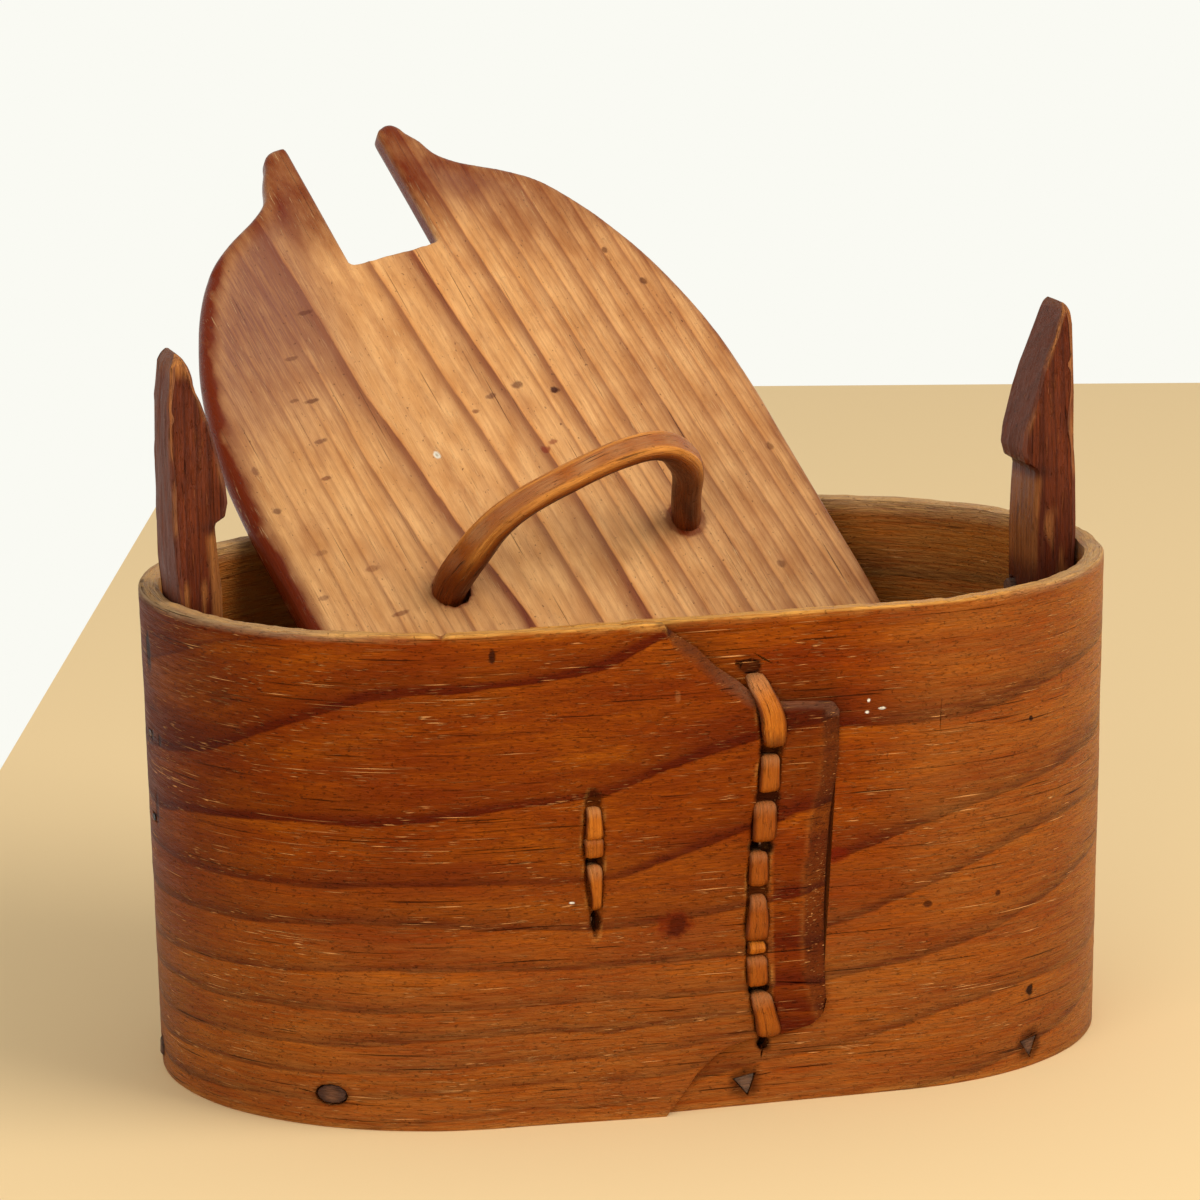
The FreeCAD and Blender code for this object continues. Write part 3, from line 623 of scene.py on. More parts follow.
band = {
    "rimBevel": 0.8,           # worn edge at the rim
    "ogee": ((-12.0, 115.0), (-10.9, 113.7), (-7.6, 111.0), (-3.8, 108.3), (0.2, 104.1), (5.8, 100.0), (10.6, 95.7),
             (14.0, 94.6), (20.0, 94.3), (28.2, 93.7), (29.6, 91.8)),
    "lowerCurve": ((-12.0, 0.0), (-8.6, 4.2), (-4.8, 9.4), (-1.2, 12.7), (2.8, 15.2), (8.2, 16.5), (16.0, 17.2),
                   (22.6, 18.6), (25.6, 21.0), (26.4, 24.4)),
    "endEdge": ((24.4, 26.4), (34.0, 26.2), (45.0, 26.1), (56.0, 26.6), (68.0, 27.4), (82.5, 29.5), (91.8, 29.6)),
    "ogeeBevel": ((0.0, 0.8), (0.07, 4.4), (0.5, 4.7), (0.62, 2.4), (1.0, 1.8)),
    "endBevel": ((20, 2.4), (30, 5.0), (49, 5.5), (61, 5.0), (77, 4.3), (92, 4.4)),
    "endDrop": ((24, 1.5), (34, 2.3), (62, 2.4), (78, 2.0), (92, 1.7)),
    # where the roots pass through inside: height, place
    "mainHoles": ((102.9, 9.6), (83.5, 12.6), (72.2, 11.4), (60.5, 9.8),
                  (50.6, 9.0), (37.0, 9.2), (28.0, 10.2), (13.8, 11.8)),
    "shortHoles": ((75.5, -28.2), (64.2, -28.7), (47.3, -28.6)),
    # channels carved for the roots: height, place and half width along the middle line, then the depth
    "channels": ((((15.0, 12.4, 1.2), (17.5, 12.2, 2.6), (24.0, 10.9, 2.65), (28.0, 10.0, 2.3),
                   (33.0, 9.5, 2.65), (38.0, 9.3, 2.3), (44.0, 9.4, 2.75), (51.0, 9.5, 2.2),
                   (57.0, 9.8, 2.4), (61.5, 10.3, 2.3), (67.0, 11.1, 2.9), (73.0, 12.0, 2.5),
                   (79.0, 12.5, 2.45), (83.5, 12.9, 2.4), (88.0, 13.4, 2.9), (93.0, 12.6, 2.9)), 0.8),
                 (((44.0, -28.1, 0.6), (50.0, -28.1, 1.4), (56.0, -28.3, 1.9), (61.0, -28.4, 1.9),
                   (64.5, -28.4, 2.4), (69.0, -28.3, 2.1), (74.0, -28.5, 1.7), (76.5, -28.6, 0.8)), 0.7)),
    # openings for the roots: height, place, half width, half height
    "slits": ((103.0, 8.8, 2.3, 1.5), (83.6, 12.9, 2.5, 1.75), (73.1, 11.9, 2.6, 1.85), (61.6, 10.4, 2.7, 1.85),
              (51.5, 9.6, 2.4, 1.7), (38.2, 9.3, 2.3, 1.3), (28.2, 9.9, 2.6, 1.5), (14.6, 11.7, 1.4, 1.5),
              (75.4, -28.5, 1.7, 1.7), (61.0, -28.3, 2.0, 1.5), (47.2, -28.2, 1.0, 2.4)),
    # thin splits: place, height, length, width, tilt in degrees, outer depth they start from, how deep
    "splits": ((18.9, 29.0, 15.0, 0.38, -7.6, 7.6, 1.6), (0.6, 7.9, 8.5, 0.28, -3, 4.6, 0.9),
               (12.4, 7.2, 5.0, 0.25, 6, 4.6, 0.9), (-97.2, 8.2, 5.5, 0.3, -6, 4.6, 0.8),
               (-84.2, 7.8, 6.0, 0.3, 4, 4.6, 0.8), (54.5, 88.0, 10.0, 0.25, 88, 4.6, 0.35),
               (41.5, 85.0, 12.0, 0.25, 91, 4.6, 0.3), (12.0, 104.6, 6.0, 0.5, -32, 4.6, 1.4),
               (6.8, 104.0, 4.0, 0.5, 20, 4.6, 1.2), (-31.0, 76.8, 4.0, 0.4, 12, 7.0, 1.2),
               (-26.0, 76.4, 4.2, 0.45, -14, 7.2, 1.2), (11.5, 12.2, 3.0, 0.6, 80, 4.6, 1.2),
               (83.5, 7.6, 6.0, 0.3, 8, 4.6, 0.9), (-60.0, 93.2, 11.0, 0.22, 1, 4.8, 0.3),
               (24.5, 104.0, 22.0, 0.2, -4, 4.6, 0.25)),
    # grazes on the rim: place, half width, depth
    "grazes": ((-62.4, 1.3, 0.9), (-22.0, 3.0, 0.35), (58.0, 2.5, 0.3), (141.0, 6.0, 0.5), (-150.0, 7.0, 0.4)),
    "rows": 90, "innerRows": 30,
}


def onLine(points, share):
    # point at a share of the length of a drawn line
    runs = [math.dist(a, b) for a, b in zip(points, points[1:])]
    left = share * sum(runs)
    for (a, b), run in zip(zip(points, points[1:]), runs):
        if left <= run or b is points[-1]:
            t = min(left / run, 1.0)
            return a[0] + (b[0] - a[0]) * t, a[1] + (b[1] - a[1]) * t
        left -= run


def tabPoint(a, t):
    # patch between the four sides of the lap's free end: a towards its end, t upwards
    low, high = onLine(band["lowerCurve"], a), onLine(band["ogee"], a)
    left = (-12.0, 115.0 * t)
    right = onLine([(x, z) for z, x in band["endEdge"]], t)
    corner = [(1 - a) * (1 - t), a * (1 - t), (1 - a) * t, a * t]
    ends = [(-12.0, 0.0), (26.4, 24.4), (-12.0, 115.0), (29.6, 91.8)]
    return tuple((1 - t) * low[k] + t * high[k] + (1 - a) * left[k] + a * right[k]
                 - sum(w * e[k] for w, e in zip(corner, ends)) for k in (0, 1))


def rimWear(s):
    wear = 0.26 + 0.25 * rough(s, 0, 0, 21, 1) + 0.2 * rough(s, 0, 0, 4, 2) + 0.12 * rough(s, 0, 0, 1.8, 6)
    for centre, wide, deep in band["grazes"]:
        wear += deep * math.exp(-((s - centre) / wide) ** 2)
    return max(wear, 0.0)


def channelGap(s, z):
    # how far a place on the front lies outside the nearest carved channel, less than 0 in it, and the channel's depth
    nearest, deepest = 9.0, 0.0
    for path, deep in band["channels"]:
        low, high = path[0][0], path[-1][0]
        if low - 4 < z < high + 4 and abs(s - path[0][1]) < 9:
            half = curveAt([(row[0], row[2]) for row in path], z)
            side = abs(s - curveAt([row[:2] for row in path], z)) - half - 0.25 * rough(s * 0.2, z, half, 3.5, 2)
            beyond = max(low - z, z - high, 0.0)
            gap = side
            if beyond > 0:
                gap = math.hypot(max(side + half, 0), beyond) - half
            if gap < nearest:
                nearest, deepest = gap, deep
    return nearest, deepest


def endBevelAt(s, z):
    # how far a place on the tab lies inside its upright edge, and how wide the shaved bevel is there
    low, high = band["endEdge"][0][0], band["endEdge"][-1][0]
    beyond = curveAt(band["endEdge"], min(max(z, low), high)) - s
    return beyond, curveAt(band["endBevel"], z) + 0.7 * rough(z, 3, 0, 9, 4)


# columns along the strip: (strip place, share of the lap's free end or None)
columns = []
place = box["thinTo"]
while place < 165:
    columns.append((place, None))
    place += 1.2 if place > 12 else 2.2
while place < roundTrip - 165:
    columns.append((place, None))
    place += 3.2
while place < roundTrip + box["thinFrom"] - 0.5:
    columns.append((place, None))
    place += 0.5 if -33 < place - roundTrip < -24 else 1.2
tabShares = [k / 14 * 0.42 for k in range(14)] + [0.42 + k / 32 * 0.38 for k in range(32)]
tabShares += [0.8 + 0.02 * k for k in range(10)] + [0.99, 1.0]
columns += [(roundTrip + box["thinFrom"] + share * 40, share) for share in tabShares]

outerRows, innerRows = band["rows"], band["innerRows"]
bandLoop = outerRows + innerRows + 9


def bandSection(i, j):
    strip, share = columns[i]
    j = j % bandLoop
    s = strip if strip < roundTrip / 2 else strip - roundTrip
    isOuter = strip > roundTrip / 2
    if share is None:
        if isOuter:
            inner, outer = outerEnd(s)
        else:
            inner, outer = 0.0, underFace(s)
            if s > box["thinFrom"]:
                outer = box["wall"]
        topBevel, topDrop, lowBevel = band["rimBevel"], 0.45, 0.7
    else:
        inner, outer = box["lapSeam"], box["lapFace"]
        topBevel = curveAt(band["ogeeBevel"], share)
        topDrop = 0.45 + 1.5 * smoothStep(0.0, 0.07, share)
        lowBevel = 0.6
    topDrop = min(topDrop, (outer - inner) * 0.7)
    # the loop: outer face from the foot up, over the rim, down the inside, under the foot
    if j <= outerRows:
        if j == 0:
            t, edge, drop = 0.0, 0.0, 0.4
        elif j == 1:
            t, edge, drop = 0.0, lowBevel * 0.4, 0.12
        elif j == 2:
            t, edge, drop = 0.0, lowBevel, 0.0
        elif j == outerRows:
            t, edge, drop = 1.0, 0.0, topDrop
        elif j == outerRows - 1:
            t, edge, drop = 1.0, -topBevel * 0.45, topDrop * 0.5
        elif j == outerRows - 2:
            t, edge, drop = 1.0, -topBevel, 0.04
        else:
            t = (j - 2) / (outerRows - 4)
            edge, drop = lowBevel * (1 - t) - topBevel * t, 0.0
        depth = outer - drop * (1.0 if outer - inner > 1.5 else 0.3)
        face = 1
    elif j <= outerRows + 4:
        t, edge, face = 1.0, 0.0, 0
        k = (j - outerRows) / 5
        depth = (outer - topDrop) * (1 - k) + (inner + 0.25) * k
    elif j <= outerRows + 4 + innerRows:
        k = (j - outerRows - 5) / (innerRows - 1)
        t, face = 1 - k, -1
        edge = -0.35 * (1 - k)
        depth = inner
    else:
        t, edge, face = 0.0, 0.0, 0
        k = (j - outerRows - 4 - innerRows) / 5
        depth = inner + (outer - 0.4 - inner) * k
    if share is None:
        z = box["height"] * t + edge
        x = s
    else:
        x, z = tabPoint(share, t)
        z += edge
        if face == 1:
            # the upright end is shaved to a bevel, uneven where the knife stopped
            beyond, bevel = endBevelAt(x, z)
            if beyond < bevel:
                depth = min(depth, outer - curveAt(band["endDrop"], z) * (1 - max(beyond, 0) / bevel) ** 1.1)
    top = smoothStep(100, 115, z)
    if share is None or share < 0.12:
        z -= rimWear(x) * top * (1.0 if face != 1 else 1.1)
    # the wall isn't quite even: split wood bulges a little between its growth lines
    if face == 1:
        depth += 0.16 * rough(strip, z, 0, 19, 3) + 0.07 * rough(strip, z * 4, 0, 8, 4)
        if isOuter and s > -36:
            gap, deep = channelGap(x, z)
            depth -= deep * smoothStep(0.35, -0.45, gap)
            depth += 0.12 * math.exp(-((gap - 0.8) / 0.5) ** 2)
    elif face == -1 and not (isOuter and s > box["lapStarts"]):
        depth -= 0.12 * rough(strip, z, 0, 23, 5)
    return wallPoint(x, depth, z)


sideBand = gridSkin("sideBand", len(columns) - 1, bandLoop, bandSection)
closeSkin(sideBand)

# what passes through the wall is cut out of it: slits for the roots, holes for the pegs
cutters = []


def wallFrame(s, z):
    # turned so that X runs along the wall and Y into it
    here, out = Vector(wallPoint(s, box["wall"], z)), Vector(wallPoint(s, 30, z)) - Vector(wallPoint(s, 0, z))
    out.z = 0
    out.normalize()
    along = Vector((-out.y, out.x, 0))
    turned = Matrix((along, -out, Vector((0, 0, 1)))).transposed().to_4x4()
    return Matrix.Translation(here * mm) @ turned


for z, x, half, tall in band["slits"]:
    # cut with a knife point, so each opening is a ragged oval
    dropSelection()
    bpy.ops.mesh.primitive_cylinder_add(vertices=14, radius=1, depth=24)
    slit = bpy.context.object
    for corner in slit.data.vertices:
        corner.co *= 1 + 0.16 * rough(corner.co.x * 3, corner.co.y * 3, z, 1.3, 5)
        corner.co.z = math.copysign(12, corner.co.z)
    slit.data.transform(Matrix.Rotation(-math.pi / 2, 4, "X"))
    slit.data.transform(Matrix.Diagonal((half * mm, mm, tall * mm, 1)))
    slit.data.transform(wallFrame(x, z))
    cutters.append(slit)
for x, z, long, wide, tilt, face, deep in band["splits"]:
    dropSelection()
    bpy.ops.mesh.primitive_cylinder_add(vertices=4, radius=1, depth=1)
    split = bpy.context.object
    split.data.transform(Matrix.Rotation(-math.pi / 2, 4, "X"))
    split.data.transform(Matrix.Diagonal((long / 2 * mm, 3.0 * mm, wide / 2 * mm, 1)))
    sunk = Matrix.Translation((0, (box["wall"] - face + deep - 1.5) * mm, 0))
    split.data.transform(sunk @ Matrix.Rotation(math.radians(-tilt), 4, "Y"))
    split.data.transform(wallFrame(x, z))
    cutters.append(split)

# what holds an upright: a root tie through two slits, and a peg above them
fittings = {
    "tieHeights": (82, 62), "tieAcross": 1.3, "slitWide": 4.4, "pegAcross": 5.0, "pegHeight": 101,
    # the tie's way in, down the upright's inner side and out, as (distance from the middle, height)
    "tiePath": ((114.3, 82), (106, 82), (99.2, 82), (97.5, 81.2), (97.2, 78),
                (97.2, 66), (97.5, 62.8), (99.2, 62), (106, 62), (114.0, 62)),
}


def endOpenings(side, slit, hole):
    # slits given as (middle, length, height), then the hole as (middle, length, radius, corners)
    made = []
    middle, long, tall = slit
    for z in fittings["tieHeights"]:
        dropSelection()
        bpy.ops.mesh.primitive_cube_add(size=1)
        made.append(bpy.context.object)
        made[-1].data.transform(Matrix.Diagonal((long * mm, fittings["slitWide"] * mm, tall * mm, 1)))
        made[-1].data.transform(Matrix.Translation(Vector((side * middle, fittings["tieAcross"], z)) * mm))
    middle, long, radius, corners = hole
    dropSelection()
    bpy.ops.mesh.primitive_cylinder_add(vertices=corners, radius=radius * mm, depth=long * mm)
    made.append(bpy.context.object)
    made[-1].data.transform(Matrix.Rotation(math.pi / 2, 4, "Y"))
    centre = Vector((side * middle, fittings["pegAcross"], fittings["pegHeight"])) * mm
    made[-1].data.transform(Matrix.Translation(centre))
    return made


for side in (-1, 1):
    cutters += endOpenings(side, (114, 20, 2.0), (113, 20, 2.5, 20))

basePegs = [
    {"s": -162.0, "z": 5.3, "sides": 5, "wide": 2.7, "tall": 2.4, "turn": 0.3, "out": 0.5, "pale": 0.2},
    {"s": -90.6, "z": 7.8, "sides": 12, "wide": 3.7, "tall": 2.15, "turn": 0.0, "out": -0.15, "pale": 0.1},
    {"s": 7.6, "z": 5.6, "sides": 3, "wide": 3.0, "tall": 3.0, "turn": 0.35, "out": -0.2, "pale": 0.3},
    {"s": 82.6, "z": 5.4, "sides": 3, "wide": 3.4, "tall": 2.9, "turn": 0.45, "out": -0.15, "pale": 0.15},
    {"s": 163.0, "z": 5.2, "sides": 4, "wide": 2.5, "tall": 2.4, "turn": 0.6, "out": 0.1, "pale": 0.3},
    {"s": 238.0, "z": 5.2, "sides": 3, "wide": 2.8, "tall": 2.7, "turn": 0.2, "out": -0.1, "pale": 0.5},
    {"s": 309.0, "z": 5.2, "sides": 4, "wide": 2.6, "tall": 2.4, "turn": 0.4, "out": 0.0, "pale": 0.3},
    {"s": -233.0, "z": 5.2, "sides": 3, "wide": 2.8, "tall": 2.7, "turn": -0.3, "out": -0.1, "pale": 0.5},
]


def pegShape(peg, grow, length, bury):
    dropSelection()
    bpy.ops.mesh.primitive_cylinder_add(vertices=peg["sides"], radius=1, depth=1, end_fill_type="NGON")
    shape = bpy.context.object
    shape.data.transform(Matrix.Rotation(peg["turn"] + math.pi / 2, 4, "Z"))
    shape.data.transform(Matrix.Rotation(-math.pi / 2, 4, "X"))
    shape.data.transform(Matrix.Diagonal(((peg["wide"] + grow) * mm, length * mm, (peg["tall"] + grow) * mm, 1)))
    shape.data.transform(Matrix.Translation((0, (length / 2 - bury) * mm, 0)))
    shape.data.transform(wallFrame(peg["s"], peg["z"]))
    return shape


cutAway(sideBand, cutters + [pegShape(peg, 0.35, 14, 5) for peg in basePegs])


def bandSurface(x, y, z):
    s, depth = wallPlace(x, y, z)
    outerLayer = s < box["lapStarts"] or (s < 33 and depth > underFace(s) + (0.4 if s > box["thinFrom"] else 0.08))
    strip = s + roundTrip if outerLayer else s
    ring = ringBetween("band", strip, z)
    isFace = outerLayer and depth > 3.5 or not outerLayer and depth > 3.9
    wearAndLight = smoothStep(113.6, 114.6, z) * 0.9
    wearAndLight = max(wearAndLight, 0.35 * smoothStep(1.6, 0.2, z) if isFace else 0)
    dirtAndShade = 0.0
    grey = 0.0
    ends = smoothStep(60, 105, abs(s))
    if z > 113.4:
        grey = 0.6 * ends * smoothStep(113.2, 114.2, z)
    if isFace:
        # the left end is darker from handling, and both ends fade into the back; painted shade lies round the slits and
        # in the channels under the roots, and the pegs sit in dark rings
        toFront = smoothStep(295, 185, abs(s))
        dirtAndShade = 0.5 * toFront * smoothStep(-84, -135, s) * (0.3 + 0.7 * smoothStep(30, 95, z)) if s < 0 else 0.0
        # painted light: towards the foot it is a little paler, standing in for warm light bounced up from the table
        wearAndLight = max(wearAndLight, 0.13 * smoothStep(75, 15, z))
        # and its middle, left of the lap, a little darker
        dirtAndShade = max(dirtAndShade, 0.13 * smoothStep(-110, -85, s) * smoothStep(12, 6, s)
                     * smoothStep(38, 52, z) * smoothStep(112, 102, z))
        if not outerLayer:
            # the right part was handled least and stayed golden; dirt gathered above the lap's curved edge
            wearAndLight = max(wearAndLight, toFront * (0.12 * smoothStep(30, 60, s) + 0.13 * smoothStep(80, 125, s)))
            if -12 < s < 36 and z > 90:
                dirtAndShade = max(dirtAndShade, 0.42 * smoothStep(12, 0, z - curveAt(band["ogee"], s)) * smoothStep(36, 28, s))
        # painted shade round the edges of the slits
        for holeZ, holeX, half, tall in band["slits"]:
            gap = math.hypot((s - holeX) / (half + 0.3), (z - holeZ) / (tall + 0.3))
            dirtAndShade = max(dirtAndShade, 0.95 * smoothStep(1.3, 0.9, gap))
        # painted shade in the carved channels under the roots
        gap, deep = channelGap(s, z)
        dirtAndShade = max(dirtAndShade, 0.75 * smoothStep(0.1, -0.3, gap))
        if gap > 0:
            wearAndLight = max(wearAndLight, 0.3 * math.exp(-((gap - 0.5) / 0.4) ** 2) * smoothStep(-0.1, 0.4, rough(s, z, 0, 4, 15)))
        for peg in basePegs:
            away = math.hypot((s - peg["s"]) / (peg["wide"] + 0.6), (z - peg["z"]) / (peg["tall"] + 0.5))
            dirtAndShade = max(dirtAndShade, 0.75 * smoothStep(1.3, 0.8, away))
        if outerLayer and s > -14:
            # shaved faces of the lap's edge are dull, and the tab is darker than the rest, most at its upper corner
            onTab = s > 13.5 and 17 < z < 94
            if onTab:
                wearAndLight, dirtAndShade = 0.0, max(dirtAndShade, 0.02 + 0.3 * smoothStep(68, 84, z))
            onEdge = depth < box["lapFace"] - 0.35 and depth > box["lapSeam"] + 0.1
            upperEdge = z > 93.2 - 0.1 * s
            if onEdge and upperEdge:
                grey, dirtAndShade = 0.05 + 0.1 * smoothStep(-4, 9, s), 0.6 if s < 11 else 0.3
            elif s > 17 and z > 19:
                beyond, bevel = endBevelAt(s, z)
                if beyond < bevel:
                    grey, dirtAndShade = 0.02, 0.52 + 0.14 * smoothStep(64, 84, z) + 0.14 * smoothStep(0.8, 0.1, beyond)
                    onTab = False
                # a painted highlight runs along the ridge where the bevel starts
                ridge = math.exp(-((beyond - bevel - 0.3) / 0.6) ** 2)
                wearAndLight = max(wearAndLight, 0.12 * ridge * (0.5 + 0.8 * rough(z, 0, 0, 9, 33)))
            if onTab:
                # the late wood lies broad and red under the tab's shaved face
                ring = (ring[0], max(ring[1], 0.9), 0.48 * ring[2])
    elif z < 113:
        # inside it is painted lighter near the rim and darker towards the bottom: painted light and painted shade in
        # the box
        wearAndLight = max(wearAndLight, 0.22 * smoothStep(50, 100, z))
        dirtAndShade = 0.25 * smoothStep(90, 20, z)
    return (strip, z, depth), ring, (wearAndLight, dirtAndShade, grey)


markSurface(sideBand, bandSurface)
finishPiece(sideBand, bandWood, "box", ["side_band"])
print("band done", len(sideBand.data.polygons))


# pegs round the foot: whittled, driven in from outside, their heads rubbed nearly level with the wall
for number, peg in enumerate(basePegs, 1):
    shape = pegShape(peg, 0.0, 16.5, peg["out"])
    shape.name = "basePeg" + str(number)
    applyModifier(shape, "BEVEL", {"width": 0.35 * mm, "segments": 2})
    applyModifier(shape, "SUBSURF", {"levels": 2, "render_levels": 2, "subdivision_type": "SIMPLE"})
    for corner in shape.data.vertices:
        here = corner.co / mm
        corner.co += Vector((rough(*here, 2.2, number), 0, rough(*here, 1.7, number + 9))) * 0.16 * mm
    closeSkin(shape)

    def pegSurface(x, y, z):
        s, depth = wallPlace(x, y, z)
        gap = math.hypot(s - peg["s"], z - peg["z"])
        onHead = smoothStep(box["wall"] - 1.0, box["wall"] - 0.4, depth)
        return ((depth * 0.2 + s - peg["s"], (z - peg["z"]) * 1.5, depth), ((z + 0.4 * s) / 1.1, 0.8, 1.1),
                (0.6 * onHead * smoothStep(2.6, 0.8, gap), 0.15 + 0.6 * smoothStep(1.6, 2.8, gap), peg["pale"] * onHead))

    markSurface(shape, pegSurface)
    finishPiece(shape, pegWood, "box", ["base_peg_" + str(number)])
print("pegs done")


# root strands: every stitch is a plump strand that dives into the wall at both ends
lacing = {
    "halfWidth": 2.35, "insideTall": 0.75, "rib": 0.16,
    # stitches outside: heights of top and bottom, places there, bow to the right, half widths at top and bottom,
    # half thickness, how pale, which also sets how bright its painted highlight is
    "main": ((101.4, 84.5, 9.3, 13.7, 1.3, 2.5, 2.85, 1.0, 0.75), (82.8, 74.1, 12.7, 12.3, 0.0, 2.3, 2.4, 1.0, 0.3),
             (72.1, 62.6, 11.3, 11.0, 0.1, 2.8, 2.75, 1.05, 0.15), (60.6, 52.4, 9.8, 9.7, 0.0, 2.2, 2.3, 1.0, 0.1),
             (50.6, 39.6, 9.5, 9.1, 0.3, 2.0, 2.8, 1.05, 0.1), (39.6, 36.5, 9.4, 9.4, 0.0, 2.2, 2.3, 0.95, 0.75),
             (36.1, 28.9, 9.3, 9.6, 0.0, 2.6, 2.5, 1.0, 0.2), (27.5, 16.7, 9.9, 12.4, 0.2, 2.5, 2.8, 1.1, 0.25)),
    "short": ((73.7, 66.0, -28.5, -28.2, 0.0, 1.7, 2.1, 0.9, 0.7), (66.4, 61.9, -28.4, -28.4, 0.0, 2.35, 2.2, 0.6, 0.3),
              (60.3, 49.8, -28.5, -28.0, 0.2, 1.8, 1.15, 0.9, 0.45)),
}


def lapFaceAt(s, z):
    # depth of whatever is outermost on the front wall
    if s < box["lapStarts"]:
        return box["wall"]
    if s > 0 and (z > curveAt(band["ogee"], s) or z < curveAt(band["lowerCurve"], s)):
        return box["wall"]
    return outerEnd(s)[1]


def strandSection(seed, halfTop, halfBottom, tall, pale=0.6):
    def section(share, travelled, angle):
        ends = smoothStep(0.0, 0.25, share) * smoothStep(1.0, 0.75, share)
        wide = halfTop + (halfBottom - halfTop) * smoothStep(0.15, 0.75, share)
        wide *= 0.8 + 0.2 * ends + 0.09 * rough(travelled, seed, 0, 4, 3)
        across, out = math.cos(angle), math.sin(angle)
        a = wide * math.copysign(abs(across) ** 0.75, across)
        b = tall * math.copysign(abs(out) ** 0.8, out)
        rib = lacing["rib"] * rough(travelled * 0.18, a * 1.7 + seed * 3, b * 1.7, 1.0, 4)
        dent = 0.14 * rough(travelled, a, seed, 2.2, 9)
        # painted highlight along the strand's outer face, brighter on the paler strands
        wearAndLight = (0.08 + 0.75 * pale) * smoothStep(0.3, 0.95, out) * ends
        # the shoulder where it comes out is greyish pale; painted shade darkens the ends where it dives into the wall,
        # the turn back in, its back and its sides
        grey = 0.55 * smoothStep(0.42, 0.2, share) * smoothStep(0.0, 0.6, out) * (0.45 + 0.55 * pale)
        dirtAndShade = max(smoothStep(0.17, 0.05, share), smoothStep(0.85, 0.97, share), 0.7 * smoothStep(0.35, -0.3, out),
                     0.4 * smoothStep(0.7, 0.86, share), 0.55 * smoothStep(0.6, 0.95, abs(across)))
        rings = ((a + 0.6 * b) / 0.9 + seed, 0.6, 0.9)
        return a * (1 + rib * 0.3), b + rib + dent * max(out, 0), rings, (wearAndLight, dirtAndShade, grey)
    return section


def sewWall(name, stitches, holes, nodes):
    strands = []
    for k, (zTop, zBottom, xTop, xBottom, bow, halfTop, halfBottom, tall, pale) in enumerate(stitches):
        # the middle line turns over at both ends, so the strand's outside is round there
        path, length = [], zTop - zBottom
        turn = min(tall * 1.05, length * 0.35)
        upper = [(turn * 0.95, -2.6), (turn * 0.9, -0.9), (turn * 1.02, 0.0), (turn * 1.5, 0.34)]
        lower = [(length - inset, rise) for inset, rise in reversed(upper)]
        for inset, rise in upper + [(length * 0.5, 0.42)] + lower:
            share = inset / length
            x = xTop + (xBottom - xTop) * share + bow * math.sin(math.pi * share)
            face = max(lapFaceAt(x + across, zTop - inset) for across in (-2, 0, 2))
            path.append(wallPoint(x, face + rise, zTop - inset))
        section = strandSection(k + len(name), halfTop, halfBottom, tall, pale)
        strands.append(sweep(name, smoothPath(path, 0.4), Vector((1, 0, 0)), section, 24))
    for k, ((zHigh, xHigh), (zLow, xLow)) in enumerate(zip(holes, holes[1:])):
        path = []
        for share, rise in ((0.0, 2.0), (0.04, 0.3), (0.12, -0.7), (0.5, -0.85), (0.88, -0.7), (0.96, 0.3), (1.0, 2.0)):
            path.append(wallPoint(xHigh + (xLow - xHigh) * share, rise, zHigh - 0.4 + (zLow - zHigh + 0.8) * share))
        section = strandSection(k + 40, lacing["halfWidth"], lacing["halfWidth"], lacing["insideTall"])
        strands.append(sweep(name, smoothPath(path, 0.6), Vector((1, 0, 0)), section, 20))
    finishPiece(joinPieces(name, strands), rootStrand, "box", nodes, 50)


sewWall("mainLacing", lacing["main"], band["mainHoles"], ["main_lacing"])
sewWall("shortLacing", lacing["short"], band["shortHoles"], ["short_lacing"])
for side, name in ((-1, "left"), (1, "right")):
    path = [(side * x, fittings["tieAcross"], z) for x, z in fittings["tiePath"]]
    tie = sweep(name + "RootTie", smoothPath(path, 0.8), Vector((0, side, 0)), strandSection(side + 70, 1.9, 1.9, 0.75), 20)
    finishPiece(tie, rootStrand, "box", [name + "_root_tie"], 50)
print("roots done")


# uprights: split staves with a hook towards the middle of the box, (height, inner line, outer line)
upright = {
    "inner": {-1: ((9.4, 98.4), (116.0, 98.4), (124.0, 99.2), (131.0, 99.8), (131.9, 99.5), (133.2, 97.3), (136.4, 96.5),
                   (140.5, 96.9), (155.0, 100.6), (165.0, 103.7), (168.2, 104.9), (170.0, 105.8), (170.9, 106.8)),
              1: ((9.4, 98.4), (116.0, 98.4), (124.0, 99.0), (131.0, 99.5), (131.9, 99.2), (133.2, 97.1), (136.4, 96.2),
                  (140.5, 96.7), (155.0, 101.0), (165.0, 104.8), (168.2, 106.0), (170.0, 106.6), (170.9, 107.0))},
    "outer": {-1: ((9.4, 106.4), (96.0, 108.0), (104.0, 108.6), (116.0, 109.6), (122.0, 110.2), (150.0, 110.5),
                   (160.0, 110.2), (168.0, 109.2), (170.0, 108.2), (170.9, 107.5)),
              1: ((9.4, 106.4), (96.0, 108.0), (104.0, 108.5), (116.0, 109.2), (150.0, 109.4), (166.0, 109.0),
                  (169.0, 108.5), (170.4, 107.9), (170.9, 107.4))},
    # each stretch of rows: from, to, how many
    "heights": ((9.4, 90, 14), (90, 120, 22), (120, 131, 12), (131, 134, 10), (134, 166, 42), (166, 170.9, 14)),
    "flexFrom": 0.100, "flexTo": 0.118,
}


def straightAt(knots, x):
    for (x0, y0), (x1, y1) in zip(knots, knots[1:]):
        if x <= x1:
            return y0 + (y1 - y0) * (x - x0) / (x1 - x0)
    return knots[-1][1]


uprightRows = [low + (high - low) * k / count for low, high, count in upright["heights"] for k in range(count)] + [170.9]


